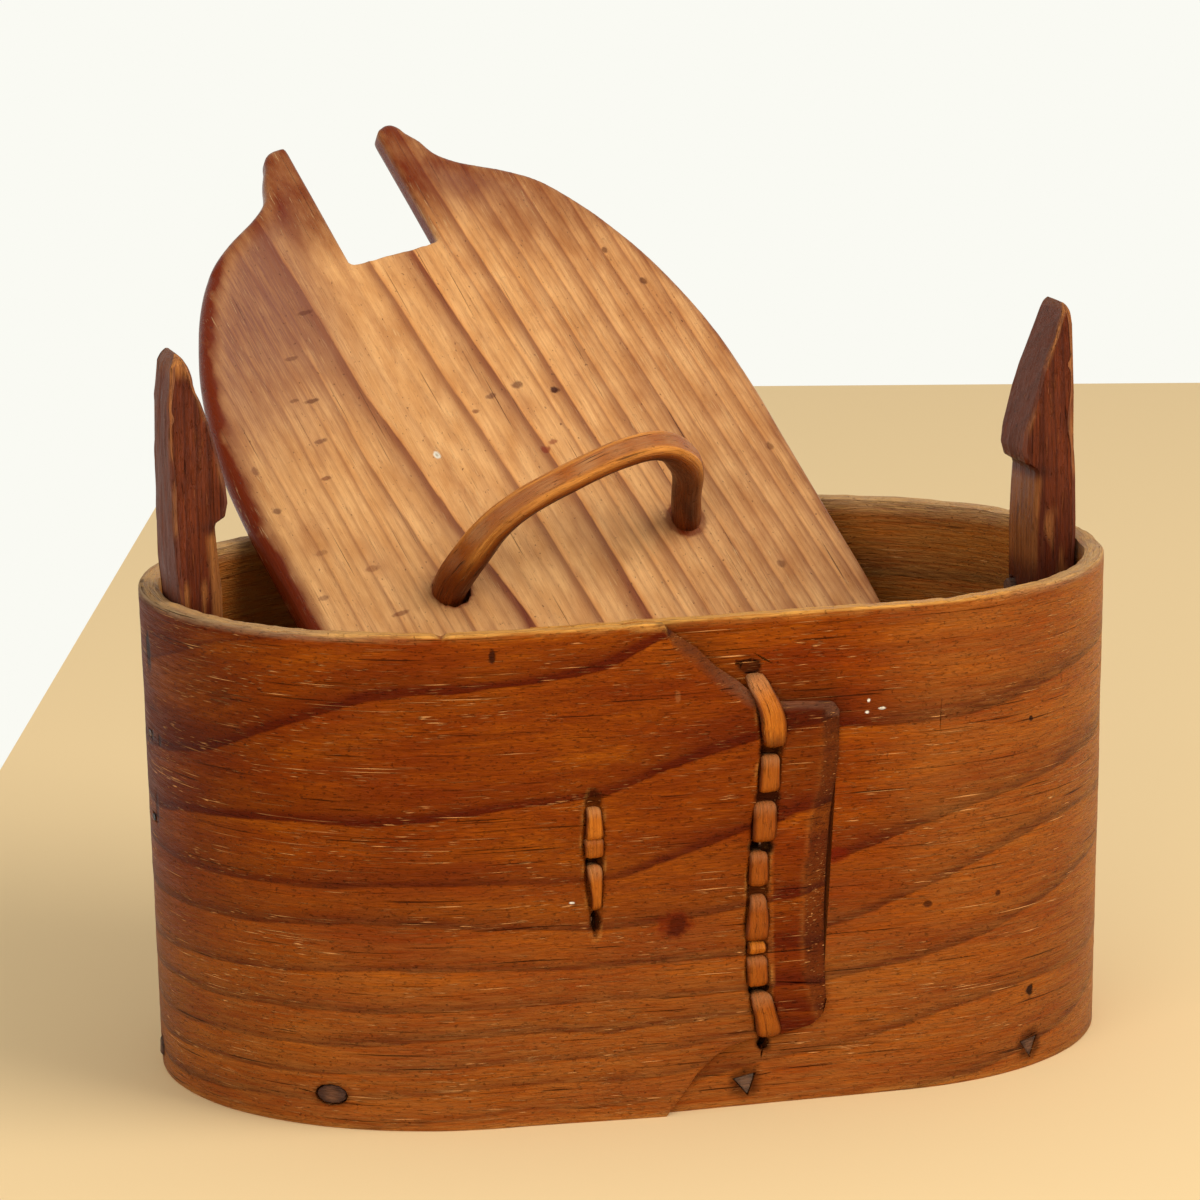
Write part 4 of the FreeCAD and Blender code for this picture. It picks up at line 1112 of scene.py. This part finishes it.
def uprightSkin(side):
    faceColumns, sideColumns = 20, 14
    # the section's ring: outer face, one side, inner face, the other side, with a worn corner between each two
    ring = []
    for face, nextSide in (("outer", "front"), ("inner", "back")):
        ring += [(face, k / faceColumns) for k in range(faceColumns + 1)]
        ring += [(nextSide, k / sideColumns) for k in range(1, sideColumns)]

    def place(i, j):
        z = uprightRows[j]
        face, share = ring[i % len(ring)]
        inner, outer = straightAt(upright["inner"][side], z), straightAt(upright["outer"][side], z)
        if face == "outer":
            x, sign = outer, 1 - 2 * share
        elif face == "inner":
            x, sign = inner, 2 * share - 1
        else:
            x, sign = (outer + (inner - outer) * share, -1) if face == "front" else (inner + (outer - inner) * share, 1)
        # seen from the end it narrows towards its top, which is rounded off
        half = min(8.2 + (x - 96.0) * 2.8 / 11.5, 11.0, 11.0 - 3.4 * (z - 120.0) / 51.0)
        half *= math.sqrt(max(1 - max((z - 167.5) / 4.2, 0.0) ** 2.5, 0.1))
        y = sign * half
        fromInner = x - inner
        if face == "outer":
            x -= 0.9 * (y / 11.0) ** 2
        # corners are rounded by wear, most along the hook and at the tip
        corner = min(0.9 + 0.35 * rough(z, side * 9, sign, 14, 8), (outer - inner) * 0.45)
        reach = half - abs(y)
        depthIn = min(abs(x - inner), abs(outer - x))
        if face in ("outer", "inner") and reach < corner:
            x += (1 if face == "inner" else -1) * (corner - math.sqrt(max(corner ** 2 - (corner - reach) ** 2, 0))) * 0.8
        if face in ("front", "back") and depthIn < corner:
            y -= sign * (corner - math.sqrt(max(corner ** 2 - (corner - depthIn) ** 2, 0))) * 0.8
        nearCorner = smoothStep(1.3, 0.3, max(reach if face in ("outer", "inner") else depthIn, 0))
        patchy = smoothStep(0.2, 0.6, 0.45 + rough(z, x, y, 9, 12))
        wearAndLight = 0.7 * nearCorner * patchy if z > 120 else 0.0
        # split grain: long grooves down the faces, flat places where the knife went; none of it at the very tip
        calm = smoothStep(170.5, 166.5, z)
        groove = calm * (0.3 * rough(z * 0.05, y * 0.9, side * 5, 1.0, 3)
                         + 0.14 * rough(z * 0.08, y * 2.6, side * 2, 1.0, 6))
        facet = calm * 0.35 * rough(z, y, x, 13, 5)
        if face == "outer":
            ridges = 1.5 if side < 0 else 1.0
            x += groove * ridges - abs(facet) * 0.6
            x -= calm * 0.8 * math.exp(-((z - 156.5) / 1.1) ** 2 - ((y + 9.0) / 2.5) ** 2)
            if side > 0:
                x -= 0.9 * math.exp(-((z - 143.5) / 5.0) ** 2 - ((y + 9.5) / 1.6) ** 2)
        elif face == "inner":
            x -= groove * 0.6 - facet * 0.5
            x += calm * 0.5 * math.exp(-((z - 163.0) / 2.0) ** 2 - ((y + 7.0) / 2.0) ** 2)
        else:
            y -= sign * (0.15 * calm + abs(facet) * 0.7 + calm * 0.14 * rough(z * 0.05, x * 1.6, side * 7, 1.0, 9))
        # painted shade: darker below the rim, where it stands inside the box, less on the outer face against the wall
        dirtAndShade = 0.5 * smoothStep(118, 106, z) * (1.0 if face != "outer" else 0.4)
        if face != "outer":
            # painted shadow under the hook, and dry pale wood down the shaft's inner side
            dirtAndShade = max(dirtAndShade, 0.55 * math.exp(-((z - 131.4) / 1.5) ** 2) * smoothStep(7.0, 1.0, fromInner))
            bare = smoothStep(130.5, 128.0, z) * smoothStep(104, 112, z)
            if face != "inner":
                bare *= smoothStep(3.0, 1.8, fromInner) if side < 0 else smoothStep(1.6, 0.6, fromInner)
            wearAndLight = max(wearAndLight, (0.5 if side < 0 else 0.4) * bare)
            dirtAndShade *= 1 - 0.7 * bare
            # low on the front the grain is torn open and orange
            wearAndLight = max(wearAndLight, 0.45 * smoothStep(0.15, 0.5, rough(z * 0.15, x * 1.1, side, 1.6, 21))
                       * smoothStep(124, 118, z) * (face == "front"))
        grey = (0.6 if face == "outer" else 0.6 if face == "inner" and z > 134 else 0.0) * smoothStep(100, 125, z)
        if side < 0:
            wearAndLight = max(wearAndLight, 0.85 * smoothStep(164.5, 168.5, z) * (1.0 if face == "front" else 0.4) * (0.5 + 0.5 * patchy))
        else:
            wearAndLight = max(wearAndLight, 0.3 * smoothStep(168.5, 170.5, z))
            if face in ("outer", "front"):
                wearAndLight = max(wearAndLight, 0.95 * math.exp(-((z - 143.5) / 4.5) ** 2)
                           * smoothStep(2.2, 0.8, abs(outer - x) + max(y + 10.0, 0) * 0.5))
        ringValue = (x * 0.92 + 0.22 * y) / 2.4
        return (side * x, y, z), (z, x, y), (ringValue, 0.8, 2.4), (wearAndLight, dirtAndShade, grey)

    return gridSkin(("left" if side < 0 else "right") + "Upright", len(ring), len(uprightRows) - 1, place)


for side, name in ((-1, "left"), (1, "right")):
    stave = uprightSkin(side)
    closeSkin(stave)
    cutAway(stave, endOpenings(side, (102, 24, 2.2), (102, 24, 2.55, 24)))
    coverPiece(stave, uprightWood, 35)
    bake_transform(stave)
    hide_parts(name + "_upright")

    def roundPeg(share, travelled, angle):
        wobble = 2.12 + 0.08 * math.sin(angle * 3 + side) + 0.06 * rough(travelled, math.cos(angle) * 2, side, 3, 2)
        onEnd = smoothStep(0.05, 0.0, share) + smoothStep(0.97, 1.0, share)
        wobble *= 1 - 0.18 * smoothStep(0.03, 0.0, share) - 0.1 * smoothStep(0.98, 1.0, share)
        return wobble * math.cos(angle), wobble * math.sin(angle), (angle, 0.5, 1.0), (0.5 * onEnd, 0.2, 0.2)

    path = [(side * x, fittings["pegAcross"], fittings["pegHeight"]) for x in (96.7, 114.4)]
    peg = sweep(name + "UprightPeg", smoothPath(path, 0.5), Vector((0, 1, 0)), roundPeg, 20)
    finishPiece(peg, pegWood, "box", [name + "_upright_peg"])
print("uprights done")


# lid, made lying flat with its top face at height 0 (u along it, v across, n up), then leaned in its place
lid = {
    "thick": 6.0, "halfWidth": {1: 70.0, -1: 69.2}, "straight": 31.0, "reach": 132.0, "notchBottom": 96.2, "notchHalf": 12.3,
    # how far each horn reaches and how far its tip draws back at the notch, by end and side
    "horns": {(1, 1): (135.8, 0.6), (1, -1): (134.8, 2.2), (-1, 1): (134.4, 0.6), (-1, -1): (134.4, 0.6)},
    "voxel": 1.0, "holeRadius": 4.75, "holes": (31.5, -33.2),
    "place": (-2.5, 41.9, 108.6), "turn": 1.5, "lean": 45.0, "spin": 103.8,
    # u, v, radius, depth
    "dents": ((45.7, -19.8, 1.3, 0.7), (50, -11.3, 1.5, 0.35), (49, -3.5, 1.2, 0.3), (46, 2.3, 1.1, 0.3),
              (30, -9.3, 1.2, 0.3), (61.7, 39.8, 1.8, 0.4), (50, 43, 1.3, 0.3), (47, 62, 1.5, 0.35),
              (34.7, 62, 1.3, 0.3), (12, 47, 2.2, 0.3), (86.7, 29.8, 1.8, 0.35), (75, 39, 2.0, 0.3),
              (69, -56.8, 1.4, 0.35), (80.8, -51.8, 1.2, 0.3), (-19.5, -50, 1.6, 0.35), (13, -64, 1.4, 0.4)),
}


def lidSide(end, side):
    reach = lid["reach"] - lid["straight"]
    half = lid["halfWidth"][side]
    tip, back = lid["horns"][end, side]
    shoulder = [(u, half * math.sqrt(1 - ((u - lid["straight"]) / reach) ** 2)) for u in (31, 52, 74, 90, 100)]
    drawn = [(0, half), (15, half)] + shoulder
    drawn += [(107, 45.4), (112.4, 38.4), (118.4, 28.2), (122.3, 24.0), (127.5, 21.8), (tip - 4, 19.4)]
    drawn = smoothPath(drawn, 1.6) + [(tip - 2.3, 18.9), (tip - 0.9, 17.7), (tip - 0.1, 16.0),
                                      (tip - 0.4 * back + 0.2, 14.2), (tip - back, lid["notchHalf"])]
    wall = [(tip - back + (lid["notchBottom"] - tip + back) * k / 14, lid["notchHalf"]) for k in range(1, 15)]
    return [(end * u, side * v) for u, v in drawn + wall]


def lidOutline():
    line = []
    for end, side in ((1, 1), (1, -1), (-1, -1), (-1, 1)):
        part = lidSide(end, side)
        line += part if end * side > 0 else part[::-1]
    clean = []
    for point in line:
        if not clean or math.dist(point, clean[-1]) > 0.05:
            clean.append(point)
    return clean if math.dist(clean[0], clean[-1]) > 0.05 else clean[:-1]


edgeLine = lidOutline()
dropSelection()
bpy.ops.mesh.primitive_circle_add(vertices=len(edgeLine), radius=1, fill_type="NGON")
lidBoard = bpy.context.object
lidBoard.name = "lidBoard"
for corner, (u, v) in zip(lidBoard.data.vertices, edgeLine):
    corner.co = Vector((u, v, 0)) * mm
applyModifier(lidBoard, "SOLIDIFY", {"thickness": lid["thick"] * mm, "offset": -1.0})
if min(corner.co.z for corner in lidBoard.data.vertices) > -0.001:
    lidBoard.data.transform(Matrix.Translation((0, 0, -lid["thick"] * mm)))
closeSkin(lidBoard)
applyModifier(lidBoard, "REMESH", {"mode": "VOXEL", "voxel_size": lid["voxel"] * mm, "adaptivity": 0.0})

edgePoints = [Vector(point) for point in edgeLine]
edgeSteps = [b - a for a, b in zip(edgePoints, edgePoints[1:] + edgePoints[:1])]
# the outline may run either way round: its area's sign tells which side is inwards
turning = math.copysign(1, sum(a.x * step.y - a.y * step.x for a, step in zip(edgePoints, edgeSteps)))
inwardOf = [Vector((-step.y, step.x)).normalized() * turning for step in edgeSteps]
inwardAt = [(inwardOf[k - 1] + inwardOf[k]).normalized() for k in range(len(edgeSteps))]
edgeSpots = [(a + step * k / 12, number) for number, (a, step) in enumerate(zip(edgePoints, edgeSteps)) for k in range(12)]
edgeTree = kdtree.KDTree(len(edgeSpots))
for where, number in edgeSpots:
    edgeTree.insert((where.x, where.y, 0), number)
edgeTree.balance()


def lidEdge(u, v):
    # how far a place lies inside the outline, less than 0 outside it, and the direction inwards there
    here, nearest = Vector((u, v)), None
    found = edgeTree.find((u, v, 0))[1]
    for k in (found - 1, found, (found + 1) % len(edgeSteps)):
        share = min(max((here - edgePoints[k]).dot(edgeSteps[k]) / edgeSteps[k].length_squared, 0.0), 1.0)
        away = here - edgePoints[k] - edgeSteps[k] * share
        if nearest is None or away.length < nearest[0].length:
            nearest = (away, k, share)
    away, k, share = nearest
    inward = inwardAt[k].lerp(inwardAt[(k + 1) % len(edgeSteps)], share).normalized()
    return math.copysign(away.length, away.dot(inward)), inward


def lidRound(u, v, top):
    inNotch = abs(v) < lid["notchHalf"] + 1.5 and abs(u) > lid["notchBottom"] - 1.5
    if inNotch:
        return 0.6
    if v > 30:
        return (2.9 if top else 2.2) if abs(u) < 105 else 1.8
    return 1.5 if top else 1.2


nearEdge = []
for corner in lidBoard.data.vertices:
    u, v, n = corner.co / mm
    gap, inward = lidEdge(u, v)
    top = n > -lid["thick"] / 2
    reach = lidRound(u, v, top)
    down = max(-n if top else lid["thick"] + n, 0.0)
    if abs(gap) < 0.75 and down > 0.3:
        # the wall lies on the drawn outline
        u, v, gap = u - inward[0] * gap, v - inward[1] * gap, 0.0
    if down < reach and gap < reach:
        # the corner between face and wall is pulled back onto an arc
        a, b = max(gap, 0.0) - reach, down - reach
        scale = reach / max(math.hypot(a, b), reach)
        moveIn, moveDown = (reach + a * scale) - gap, (reach + b * scale) - down
        u, v = u + inward[0] * moveIn, v + inward[1] * moveIn
        n += -moveDown if top else moveDown
    # planed by hand: faintly hollow, with soft ridges; the notch's end grain is torn
    n -= (0.12 + 0.12 * rough(u, v * 2.2, 3, 26, 1) + 0.05 * rough(u, v * 4, 5, 9, 2)) * (1 if top else -1)
    if top:
        for du, dv, wide, deep in lid["dents"]:
            away = (u - du) ** 2 + (v - dv) ** 2
            if away < 16:
                n -= deep * math.exp(-away / (wide * 0.8) ** 2)
    if abs(v) < lid["notchHalf"] + 0.5 and lid["notchBottom"] - 2.5 < abs(u) < lid["notchBottom"] + 2:
        tear = 0.5 * rough(v, n * 0.6, 1 if u > 0 else 9, 2.3, 7) + 0.35 * rough(v, n, 4, 0.9, 8)
        u += math.copysign(tear - 0.2, u)
    corner.co = Vector((u, v, n)) * mm
    if gap < reach + 1.0:
        nearEdge.append(corner.index)

# hands wore the edge smooth
lidBoard.vertex_groups.new(name="nearEdge").add(nearEdge, 1.0, "REPLACE")
applyModifier(lidBoard, "SMOOTH", {"factor": 0.5, "iterations": 3, "vertex_group": "nearEdge"})
lidBoard.vertex_groups.clear()

cutters = []
for v in lid["holes"]:
    dropSelection()
    bpy.ops.mesh.primitive_cylinder_add(vertices=40, radius=lid["holeRadius"] * mm, depth=20 * mm,
                                        location=(0, v * mm, -3 * mm))
    hole = bpy.context.object
    bpy.ops.object.transform_apply(location=True, rotation=False, scale=False)
    for corner in hole.data.vertices:
        corner.co.x += 0.25 * mm * math.sin(7 * corner.co.y / mm)
    cutters.append(hole)
cutAway(lidBoard, cutters)


def lidSurface(u, v, n):
    gap, inward = lidEdge(u, v)
    ring = ringBetween("lid", u, v - 0.12 * n)
    horn = smoothStep(92, 118, abs(u))
    # hands and smoke reached the left edge, the horns and the corner between them most
    dirtAndShade = 1.35 * smoothStep(7.5, 1.0, gap) * smoothStep(24, 52, v) * smoothStep(-70, -20, u)
    dirtAndShade = max(dirtAndShade, 0.7 * smoothStep(4.5, 0.5, gap) * smoothStep(-20, -50, v))
    dirtAndShade = max(dirtAndShade, 0.9 * horn, 0.6 * smoothStep(74, 102, u + 0.2 * (abs(v) - 30)) * smoothStep(-14, -38, v))
    dirtAndShade = max(dirtAndShade, 1.2 * smoothStep(-0.8, -2.2, n) * smoothStep(88, 100, abs(u)))
    stain = smoothStep(38, 92, u + 0.4 * (v - 40)) * smoothStep(12, 36, v)
    dirtAndShade = max(dirtAndShade, 0.3 * stain, 0.17 * smoothStep(-26, -40, v))
    if n > -1.5:
        for hole in lid["holes"]:
            gapOfHole = math.hypot(u, v - hole) - lid["holeRadius"]
            rim = 0.95 * smoothStep(0.8 + 0.3 * rough(u, v, 0, 2, 19), 0.1, gapOfHole)
            dirtAndShade = max(dirtAndShade, rim, 0.25 * smoothStep(5.0, 0.5, gapOfHole))
    else:
        dirtAndShade = max(dirtAndShade, 0.35)
    wearAndLight = (0.3 * smoothStep(1.2, 0.2, gap) * smoothStep(-1.8, -0.3, n)
            * (1 - horn) * (1 - 0.7 * stain) * smoothStep(60, 40, v))
    grey = max(0.45 * horn * smoothStep(16, 24, abs(v)), 0.9 * stain) * smoothStep(-2.5, -0.8, n) * smoothStep(1.5, 7.0, gap)
    return (u, v, n), ring, (wearAndLight, dirtAndShade, grey)


markSurface(lidBoard, lidSurface)
lidPlace = (Matrix.Translation(Vector(lid["place"]) * mm) @ Matrix.Rotation(math.radians(lid["turn"]), 4, "Z")
            @ Matrix.Rotation(math.radians(lid["lean"]), 4, "X") @ Matrix.Rotation(math.radians(lid["spin"]), 4, "Z"))
lidBoard.data.transform(lidPlace)
finishPiece(lidBoard, lidWood, "lid", ["lid_board"], 62)
print("lid done", len(lidBoard.data.polygons))


# handle: a bent branch with its top whittled flat; (v, n) of its middle line and its half thickness there
handle = {
    "line": ((32.3, -9.0), (32.2, -3.0), (31.9, 4.2), (30.8, 9.0), (28.9, 14.1), (24.9, 24.0),
             (17.7, 31.0), (6.9, 35.9), (-4.4, 39.3), (-12.9, 39.4), (-19.4, 36.1), (-25.3, 28.5),
             (-28.4, 21.2), (-31.0, 8.7), (-33.0, 1.5), (-33.6, -4.0), (-34.0, -9.0)),
    # travelled, half width along the lid, half thickness
    "size": ((0, 3.7, 3.7), (8, 4.0, 4.1), (14, 4.3, 4.5), (24, 4.3, 4.2), (36, 3.9, 3.5),
             (50, 3.7, 3.1), (64, 3.6, 3.0), (76, 3.7, 3.1), (84, 3.9, 3.5), (93, 4.1, 4.0),
             (100, 3.9, 3.9), (110, 3.6, 3.7), (122, 3.6, 3.6), (140, 3.6, 3.6)),
}
handlePath = smoothPath([(0.0, v, n) for v, n in handle["line"]], 0.9)


def handleSection(share, travelled, angle):
    wide = curveAt([(row[0], row[1]) for row in handle["size"]], travelled)
    thick = curveAt([(row[0], row[2]) for row in handle["size"]], travelled)
    across, out = math.cos(angle), math.sin(angle)
    a, b = wide * across, thick * out
    # the knife left the top flat, then a slanted face down each flank
    flat = thick * (0.74 + 0.1 * rough(travelled, 0, 3, 16, 2))
    shaved = smoothStep(14, 30, travelled) * smoothStep(100, 88, travelled)
    if b > flat:
        b = flat + (b - flat) * (1 - 0.85 * shaved)
    knuckle = 0.5 * math.exp(-((travelled - 92) / 5.0) ** 2) * max(out, -0.2)
    a += 0.22 * rough(travelled, a, b, 9, 4) + 0.08 * rough(travelled * 0.3, a * 2, b * 2, 2.0, 5)
    b += knuckle + 0.25 * rough(travelled, a, b + 50, 11, 6) + 0.08 * rough(travelled * 0.3, a * 2, b * 2 + 9, 2.0, 7)
    # the edges of the flat are rubbed bright and its top is a little lighter, painted light; the flank below them and
    # the underside are painted shade, dark red, and the legs are darker, most on their undersides
    edgeOf = math.exp(-((abs(across) - 0.74) / 0.2) ** 2) * smoothStep(0.1, 0.45, out)
    wearAndLight = 0.85 * edgeOf + 0.15 * smoothStep(0.6, 1.0, out)
    wearAndLight *= smoothStep(16, 30, travelled)
    wearAndLight *= smoothStep(120, 96, travelled)
    legs = max(smoothStep(28, 14, travelled), smoothStep(92, 104, travelled))
    dirtAndShade = max(0.9 * legs * (0.5 + 0.5 * smoothStep(0.5, -0.2, out)), 0.85 * smoothStep(0.35, -0.25, out))
    dirtAndShade = max(dirtAndShade, 0.8 * math.exp(-((travelled - 93) / 1.6) ** 2 - ((angle - 1.0) / 0.4) ** 2))
    grey = shaved * smoothStep(0.65, 0.3, abs(across)) * smoothStep(0.5, 0.9, out)
    grey *= max(0.25 + 0.5 * rough(travelled, across * 3, 0, 6, 21), 0.0)
    return a, b, ((b + 0.35 * a) / 1.9, 0.6, 1.9), (wearAndLight, min(dirtAndShade, 1.0), grey)


lidHandle = sweep("lidHandle", handlePath, Vector((1, 0, 0)), handleSection, 36)
slots = []
for v in lid["holes"]:
    dropSelection()
    bpy.ops.mesh.primitive_cube_add(size=1, location=(0, v * mm, -7 * mm))
    slot = bpy.context.object
    slot.scale = (14 * mm, 1.2 * mm, 8.2 * mm)
    bpy.ops.object.transform_apply(location=True, rotation=False, scale=True)
    slots.append(slot)
cutAway(lidHandle, slots)
lidHandle.data.transform(lidPlace)
finishPiece(lidHandle, handleWood, "lid", ["lid_handle"], 45)
print("handle done")


camera = {"place": (-0.37453, -1.28894, 0.38161), "azimuth": -15.944, "elevation": 11.622, "roll": -0.793, "lens": 174.94}
viewer = bpy.data.cameras.new("viewer")
viewer.lens = camera["lens"]
viewer.sensor_width = 36
viewer.clip_start, viewer.clip_end = 0.05, 50
viewerObject = bpy.data.objects.new("viewer", viewer)
bpy.context.scene.collection.objects.link(viewerObject)
viewerObject.matrix_world = (Matrix.Translation(camera["place"])
                             @ Matrix.Rotation(math.radians(camera["azimuth"]), 4, "Z")
                             @ Matrix.Rotation(math.radians(90 - camera["elevation"]), 4, "X")
                             @ Matrix.Rotation(math.radians(camera["roll"]), 4, "Z"))
bpy.context.scene.camera = viewerObject

# a plain pale table top, turned a little; its far left corner lies behind the box
table = {"tone": "#f4d9a9", "corner": (0.1097, 0.9421), "turn": -18.15, "wide": 3.2, "deep": 4.5}
dropSelection()
bpy.ops.mesh.primitive_plane_add(size=1)
floor = bpy.context.object
floor.name = "floor"
floor.data.transform(Matrix.Translation((*table["corner"], 0)) @ Matrix.Rotation(math.radians(table["turn"]), 4, "Z")
                     @ Matrix.Diagonal((table["wide"], table["deep"], 1, 1)) @ Matrix.Translation((0.5, -0.5, 0)))
floorPaint = bpy.data.materials.new("paleFloor")
floorPaint.use_nodes = True
tree = floorPaint.node_tree
tree.nodes["Principled BSDF"].inputs["Base Color"].default_value = linearColour(table["tone"])
tree.nodes["Principled BSDF"].inputs["Roughness"].default_value = 0.8
tree.nodes["Principled BSDF"].inputs["Specular IOR Level"].default_value = 0.1
floor.data.materials.append(floorPaint)

lights = {
    "window": {"place": (1.1, -0.9, 1.3), "size": 1.3, "watts": 24, "tint": "#fff4e4"},
    "doorway": {"place": (-0.95, -1.25, 0.42), "size": 1.0, "watts": 13, "tint": "#fff8ee"},
}
for name, lamp in lights.items():
    light = bpy.data.lights.new(name, "AREA")
    light.size = lamp["size"]
    light.energy = lamp["watts"]
    light.color = linearColour(lamp["tint"])[:3]
    lightObject = bpy.data.objects.new(name, light)
    bpy.context.scene.collection.objects.link(lightObject)
    lightObject.location = lamp["place"]
    lightObject.rotation_euler = (Vector((0, 0, 0.08)) - Vector(lamp["place"])).to_track_quat("-Z", "Y").to_euler()

world = bpy.data.worlds.new("studio")
bpy.context.scene.world = world
world.use_nodes = True
tree = world.node_tree
# the pale wall stands behind the table; the room in front of it is dim, which keeps the old wood's colour deep
ambient = tree.nodes["Background"]
ambient.inputs[0].default_value = linearColour("#f6f3ea")
ambient.inputs[1].default_value = 0.6
wall = addNode(tree, "Background", {0: linearColour("#fafaf3"), 1: 1.0})
direction = addNode(tree, "SeparateXYZ", {}, {0: addNode(tree, "TexCoord").outputs["Generated"]})
towardsWall = addNode(tree, "MapRange", {1: -0.1, 2: 0.5, 3: 0.1, 4: 1.0}, {0: direction.outputs[1]})
mirrored = addNode(tree, "Background", {0: linearColour("#fafaf3")}, {1: towardsWall.outputs[0]})
rays = addNode(tree, "LightPath")
glossy = addNode(tree, "MixShader", {}, {0: rays.outputs["Is Glossy Ray"], 1: ambient.outputs[0], 2: mirrored.outputs[0]})
seen = mathOn(tree, "MAXIMUM", rays.outputs["Is Camera Ray"], rays.outputs["Is Transmission Ray"])
both = addNode(tree, "MixShader", {}, {0: seen, 1: glossy.outputs[0], 2: wall.outputs[0]})
tree.links.new(both.outputs[0], tree.nodes["World Output"].inputs[0])
bpy.context.scene.view_settings.view_transform = "Standard"
print("camera, floor and light done")

for node, wood in (("bottom_board", boardWood), ("handle_wedge_left", wedgeWood), ("handle_wedge_right", wedgeWood)):
    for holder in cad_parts[node].material_slots:
        holder.material = wood
